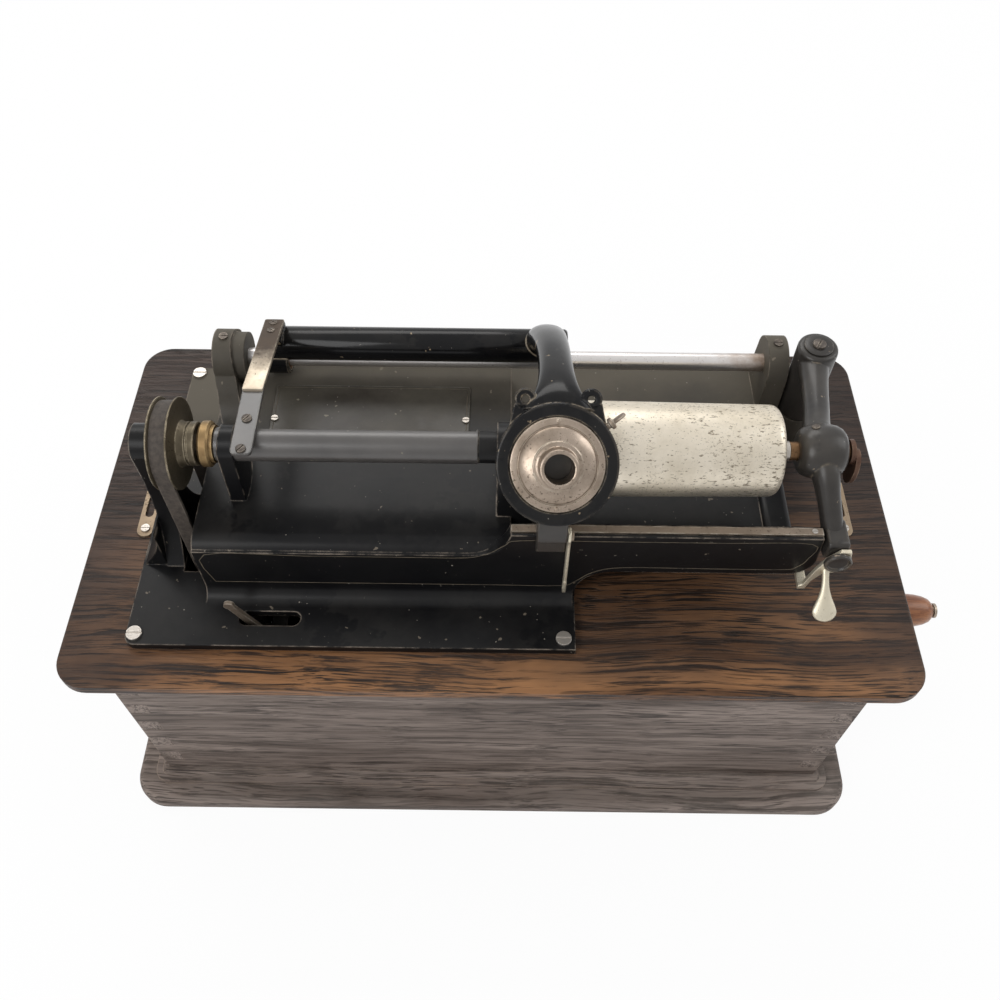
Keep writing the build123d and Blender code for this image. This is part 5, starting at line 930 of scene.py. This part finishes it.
def buildLatch(g):
    bm = bmesh.new()
    addPlate(bm, g["plate"][::-1], (0, g["back"], boardTop), (1, 0, 0), (0, 0, 1), g["thickness"])
    addPlate(bm, g["finger"][::-1], (0, -57.0, boardTop), (1, 0, 0), (0, 0, 1), 10.0)
    makePiece("latchPlate", bm, "latch", "creamNickel", ("gate_latch",), bevel=0.45)
    bm = bmesh.new()
    drop = radians(g["handleDrop"])
    way = Vector((0, -cos(drop), -sin(drop)))
    start = Vector(g["handle"])
    addSweep(bm, [(*(start + way * s), w, t) for s, w, t in g["drop"]], (1, 0, 0), 48, 6, 2.0)
    makePiece("latchHandle", bm, "latch", "creamNickel")
    bm = bmesh.new()
    addLathe(bm, g["cup"], g["pivot"], (0, -1, 0), 56, False)
    makePiece("latchCup", bm, "latch", "gateJapan")


buildLatch(gateLatch)

def addSlottedHead(bm, centre, out, across, radius, height, slot=0.55):
    # a domed head cut by its slot: two halves on a disc
    centre, out, across = Vector(centre), Vector(out).normalized(), Vector(across).normalized()
    along = out.cross(across)
    addLathe(bm, [(0.05, 0), (radius, 0), (radius, height * 0.45), (0.05, height * 0.45)], centre, out, 32, False)
    for side in (-1, 1):
        start = acos(min(1.0, slot / 2 / radius))
        rings = []
        for share, rise in ((1.0, 0.45), (1.0, 0.75), (0.86, 1.0)):
            ring = []
            for i in range(17):
                turn = -start + 2 * start * i / 16
                x = max(slot / 2, radius * share * cos(turn)) * side
                y = radius * share * sin(turn)
                ring.append(bm.verts.new((centre + across * x + along * y + out * height * rise) * mm))
            rings.append(ring)
        closeRing(bm, rings)
        capEnds(bm, rings)


# driven pulley: a full dished face, rolled rims and a grooved hub
drivenPulley = {
    "centre": (-24.0, boardTop + 78.2),
    "profile": [
        (4.9, -157.5), (9.4, -157.5), (10.2, -156.9), (17.5, -156.7), (21.4, -157.4), (22.0, -157.4), (22.2, -157.1),
        (22.2, -156.8), (21.6, -156.4), (18.6, -156.1), (18.6, -148.9), (21.6, -148.6), (22.2, -148.2),
        (22.2, -147.9), (22.0, -147.6), (21.4, -147.5), (18.0, -147.9), (13.0, -147.7), (11.2, -147.0),
        (10.5, -145.6), (10.5, -143.4), (9.7, -143.1), (9.7, -142.5), (10.5, -142.2), (10.5, -139.4), (10.1, -139.0),
        (4.9, -139.0),
    ],
}


def buildPulley(p):
    bm = bmesh.new()
    addLathe(bm, p["profile"], (0, *p["centre"]), (1, 0, 0), 144)
    makePiece("dishedPulley", bm, "mandrel_group", "pulleyBrass", ("driven_pulley",))


buildPulley(drivenPulley)

# nut arm: a straight stiff spring from the bar down to the strip over the guard, and its screws
nutArm = {
    "x": -115.5, "wide": 10.0, "thick": 2.3,
    "top": (60.0, 76.7), "bottom": (0.2, 89.1),
    "screws": [(56.5, 2.0), (49.5, 2.0)],
    "stripScrews": [(-17.0, 90.4 - 1.8), (-35.0, 90.4 - 1.8)],
}


def buildNutArm(n):
    (topY, topH), (lowY, lowH) = n["top"], n["bottom"]
    bm = bmesh.new()
    addSweep(bm, [(n["x"], topY, boardTop + topH, n["wide"] - 0.8, n["thick"] - 0.6),
                  (n["x"], topY - 0.7, boardTop + topH + 0.15, n["wide"], n["thick"]),
                  (n["x"], lowY + 0.7, boardTop + lowH - 0.15, n["wide"], n["thick"]),
                  (n["x"], lowY, boardTop + lowH, n["wide"] - 0.8, n["thick"] - 0.6)], (1, 0, 0), 48, 0, 9.0)
    makePiece("nutArmSpring", bm, "arm", "springNickel", ("nut_spring",), sharp=50)
    bm = bmesh.new()
    slope = (lowH - topH) / (lowY - topY)
    out = Vector((0, -slope, 1))
    for y, radius in n["screws"]:
        h = topH + (y - topY) * slope + n["thick"] / 2
        addSlottedHead(bm, (n["x"], y, boardTop + h - 0.1), out, (0.6, 0.8, 0.8 * slope), radius, 0.8)
    for y, h in n["stripScrews"]:
        addSlottedHead(bm, (n["x"], y, boardTop + h), (0, 0, 1), (0.8, -0.6, 0), 2.4, 1.0)
    makePiece("nutArmScrews", bm, "arm", "darkSteel", ("strip_screws",), sharp=40)


buildNutArm(nutArm)

# rest block under the ring, the blade that lifts it and the ring's thumb screw
ringRest = {
    "left": 20.5, "right": 34.5,
    "section": [(-68.5, 80.3), (-63.5, 85.0), (-56.2, 73.0), (-56.2, 61.3), (-62.5, 61.1), (-62.5, 53.1),
                (-66.5, 53.1), (-66.5, 64.2), (-70.0, 66.1), (-70.0, 72.4)],
    "pivot": (-66.1, 67.1), "pin": [(0.05, 0.0), (2.5, 0.0), (2.5, 0.9), (2.1, 1.3), (0.05, 1.4)],
    "bladeX": 35.6, "bladeThick": 1.7,
    "blade": [(-66.0, 70.4, 4.0), (-66.0, 69.2, 6.4), (-66.1, 67.1, 7.6), (-66.2, 64.4, 6.2), (-66.4, 60.0, 5.2),
              (-66.9, 45.0, 4.7), (-67.3, 31.5, 4.3)],
    "loop": {"y": -67.5, "top": 30.6, "low": 22.0, "reach": 1.45, "wide": 1.35},
}


def buildRest(r):
    bm = bmesh.new()
    addPlate(bm, r["section"], (r["left"], 0, boardTop), (0, 1, 0), (0, 0, 1), r["right"] - r["left"])
    makePiece("ringRest", bm, "arm", "gateJapan", ("rest_block",), bevel=0.8)
    bm = bmesh.new()
    half = r["bladeThick"] / 2
    addSweep(bm, [(r["bladeX"], y, boardTop + h, w, r["bladeThick"]) for y, h, w in r["blade"]], (0, 1, 0), 28, 5, 5.0)
    loop = r["loop"]
    path = []
    for i in range(24):
        turn = 2 * pi * i / 24
        middle = loop["top"] if sin(turn) > 0 else loop["low"]
        path.append((r["bladeX"], loop["y"] + loop["reach"] * cos(turn), boardTop + middle + loop["reach"] * sin(turn),
                     r["bladeThick"], loop["wide"]))
    addSweep(bm, path, (1, 0, 0), 16, 0, 4.0, True)
    makePiece("liftBlade", bm, "lift_lever", "creamNickel", ("lift_lever",), sharp=50)
    bm = bmesh.new()
    y, h = r["pivot"]
    addLathe(bm, r["pin"], (r["bladeX"] + half, y, boardTop + h), (1, 0, 0), 32, False)
    makePiece("liftPin", bm, "arm", "bladeSteel")


buildRest(ringRest)

thumbScrew = {
    "turn": 38.0,
    "stem": [(0.05, 21.6), (1.5, 21.6), (1.5, 28.4), (2.5, 28.7), (2.7, 29.2), (2.7, 30.2), (2.3, 30.6), (0.05, 30.6)],
    # along, width, thickness
    "wing": [(30.0, 4.0, 2.2), (31.2, 6.4, 2.0), (33.0, 8.6, 1.8), (34.8, 9.0, 1.7), (36.0, 8.2, 1.5), (36.6, 5.5, 1.0)],
}


def buildThumbScrew(t):
    turn = radians(t["turn"])
    way = Vector((cos(turn), 0, 0)) + ringUp * sin(turn)
    middle = onRing(0, 0, -3.5)
    bm = bmesh.new()
    addLathe(bm, t["stem"], middle, way, 40, False)
    addSweep(bm, [(*(middle + way * s), w, d) for s, w, d in t["wing"]], ringOut, 36, 5, 2.6)
    makePiece("thumbScrew", bm, "ring_screw", "bladeSteel", ("ring_screw",))


buildThumbScrew(thumbScrew)

# gate pin: a low cap on the hub, held by a domed slotted screw
gatePin = {
    "place": (165.0, 42.0), "shank": [(0.05, 34.5), (4.0, 34.5), (4.0, 80.0), (0.05, 80.0)],
    "cap": [(0.05, 81.15), (6.9, 81.15), (7.4, 81.4), (7.4, 81.8), (7.0, 82.0), (4.2, 82.05), (0.05, 82.05)],
    "screwRadius": 3.3, "screwHigh": 1.5,
}


def buildGatePin(g):
    bm = bmesh.new()
    addLathe(bm, g["shank"], (*g["place"], boardTop), (0, 0, 1), 48, False)
    addLathe(bm, g["cap"], (*g["place"], boardTop), (0, 0, 1), 64, False)
    makePiece("gatePinCap", bm, "works", "gateJapan", ("gate_pin",))
    bm = bmesh.new()
    addSlottedHead(bm, (*g["place"], boardTop + 82.0), (0, 0, 1), (0.9, -0.5, 0), g["screwRadius"], g["screwHigh"], 0.7)
    makePiece("gatePinScrew", bm, "works", "darkSteel", sharp=40)


buildGatePin(gatePin)

# crank grip, turned and polished
crankGrip = {
    "centre": (2.0, 44.7), "left": 225.5,
    "profile": [(3.6, 0.0), (6.6, 0.0), (7.4, 0.5), (7.8, 1.8), (8.3, 5.0), (9.3, 13.0), (10.4, 24.0), (11.0, 35.0),
                (10.9, 42.0), (10.4, 48.0), (9.4, 53.0), (7.8, 56.8), (5.6, 59.0), (3.2, 59.9), (0.1, 60.0),
                (0.1, 58.0), (3.6, 57.0)],
}


def buildGrip(g):
    bm = bmesh.new()
    addLathe(bm, g["profile"], (g["left"], *g["centre"]), (1, 0, 0), 96)
    makePiece("turnedGrip", bm, "grip", "gripWood", ("crank_grip",))


buildGrip(crankGrip)

# painted lines: round the front face of the bedplate and the edge of the bare plate
paintedLines = {
    "wide": 0.55, "proud": 0.09,
    "frontY": -62.03,
    "front": [(-139, 15), (-139, 40), (-90, 40), (-40, 40), (-16, 40), (-7, 41.5), (0, 45.5), (6.5, 52), (14, 56),
              (60, 56), (110, 56), (150.5, 56), (151.6, 43), (148, 35.6), (141, 33), (100, 33), (64, 33), (50, 28.5),
              (41.5, 19.5), (34, 15), (0, 15), (-70, 15)],
    "plateTop": boardTop + 46.83,
    "plate": [(-115.4, 9.6), (-115.4, 40.4), (-14.6, 40.4), (-14.6, 9.6)],
}


def buildLines(p):
    bm = bmesh.new()
    line = smoothLine([(x, h) for x, h in p["front"]] + [p["front"][0]], 4)[:-1]
    addSweep(bm, [(x, p["frontY"], boardTop + h, p["proud"], p["wide"]) for x, h in line],
             (0, 1, 0), 8, 0, 2.0, True)
    makePiece("frontLine", bm, "works", "stripePaint")
    bm = bmesh.new()
    corners = p["plate"]
    for (ax, ay), (bx, by) in zip(corners, corners[1:] + corners[:1]):
        addSweep(bm, [(ax, ay, p["plateTop"], p["proud"], 0.4), (bx, by, p["plateTop"], p["proud"], 0.4)],
                 (0, 0, 1), 8, 0)
    makePiece("plateLine", bm, "works", "stripePaint")


buildLines(paintedLines)
print("pieces built")

# floor, lamps and background
studio = {
    "floorHalf": 6.0,
    "floorColor": (0.93, 0.93, 0.93, 1),
    "seenGlow": 0.94, "mirroredGlow": 0.5,
    "worldLow": (0.62, 0.62, 0.63),
    "worldHigh": (0.95, 0.96, 0.98),
    "worldStrength": 0.62,
    # place, size, power, colour
    "lamps": [
        ((-0.35, 1.25, 1.45), (1.6, 0.7), 12.0, (1.0, 0.985, 0.96)),
        ((-1.0, -1.0, 1.25), (1.0, 1.0), 12.0, (1.0, 1.0, 1.0)),
        ((1.3, 0.2, 1.1), (0.8, 1.2), 6.0, (0.97, 0.985, 1.0)),
    ],
}


def seenBy(tree, camera, mirrored):
    # a share for what the camera sees and one for what metal and glass show of it
    path = tree.nodes.new("ShaderNodeLightPath")
    seen = mathNode(tree, "MULTIPLY", path.outputs["Is Camera Ray"], camera)
    for label in ("Is Glossy Ray", "Is Transmission Ray"):
        seen = mathNode(tree, "MAXIMUM", seen, mathNode(tree, "MULTIPLY", path.outputs[label], mirrored))
    return seen


def buildFloor(s):
    half = s["floorHalf"]
    mesh = bpy.data.meshes.new("studioFloor")
    mesh.from_pydata([(-half, -half, 0), (half, -half, 0), (half, half, 0), (-half, half, 0)], [], [(0, 1, 2, 3)])
    floor = bpy.data.objects.new("studioFloor", mesh)
    bpy.context.scene.collection.objects.link(floor)
    material, tree, shader, coords = startMaterial("studioPaper", 0.9, specular=0.1)
    shader.inputs["Base Color"].default_value = s["floorColor"]
    glow = addNode(tree, "ShaderNodeEmission", {"Color": (1, 1, 1, 1), "Strength": 1.0})
    blend = tree.nodes.new("ShaderNodeMixShader")
    tree.links.new(seenBy(tree, s["seenGlow"], s["mirroredGlow"]), blend.inputs[0])
    tree.links.new(shader.outputs[0], blend.inputs[1])
    tree.links.new(glow.outputs[0], blend.inputs[2])
    tree.links.new(blend.outputs[0], tree.nodes["Material Output"].inputs["Surface"])
    mesh.materials.append(material)


def buildWorld(s):
    # dimmer in front, bright above and behind; white where it is seen
    world = bpy.data.worlds.new("studioWorld")
    world.use_nodes = True
    bpy.context.scene.world = world
    tree = world.node_tree
    back = tree.nodes["Background"]
    coords = tree.nodes.new("ShaderNodeTexCoord")
    split = tree.nodes.new("ShaderNodeSeparateXYZ")
    tree.links.new(coords.outputs["Generated"], split.inputs[0])
    lean = mathNode(tree, "ADD", mathNode(tree, "MULTIPLY", split.outputs["Y"], 0.55), split.outputs["Z"])
    lean = mathNode(tree, "MULTIPLY", mathNode(tree, "ADD", lean, 0.1), 0.9, True)
    tree.links.new(mixColor(tree, lean, s["worldLow"], s["worldHigh"]), back.inputs["Color"])
    back.inputs["Strength"].default_value = s["worldStrength"]
    white = addNode(tree, "ShaderNodeBackground", {"Color": (1, 1, 1, 1), "Strength": 1.0})
    blend = tree.nodes.new("ShaderNodeMixShader")
    tree.links.new(seenBy(tree, 1.0, s["mirroredGlow"]), blend.inputs[0])
    tree.links.new(back.outputs[0], blend.inputs[1])
    tree.links.new(white.outputs[0], blend.inputs[2])
    tree.links.new(blend.outputs[0], tree.nodes["World Output"].inputs["Surface"])


def buildLamps(s):
    for i, (place, size, power, color) in enumerate(s["lamps"]):
        lampData = bpy.data.lights.new("softbox%d" % i, "AREA")
        lampData.shape = "RECTANGLE"
        lampData.size, lampData.size_y = size
        lampData.energy = power
        lampData.color = color
        lamp = bpy.data.objects.new("softbox%d" % i, lampData)
        lamp.location = place
        lamp.rotation_euler = (Vector((0, 0, 0.15)) - Vector(place)).to_track_quat("-Z", "Y").to_euler()
        bpy.context.scene.collection.objects.link(lamp)


buildFloor(studio)
buildWorld(studio)
buildLamps(studio)
print("studio built")
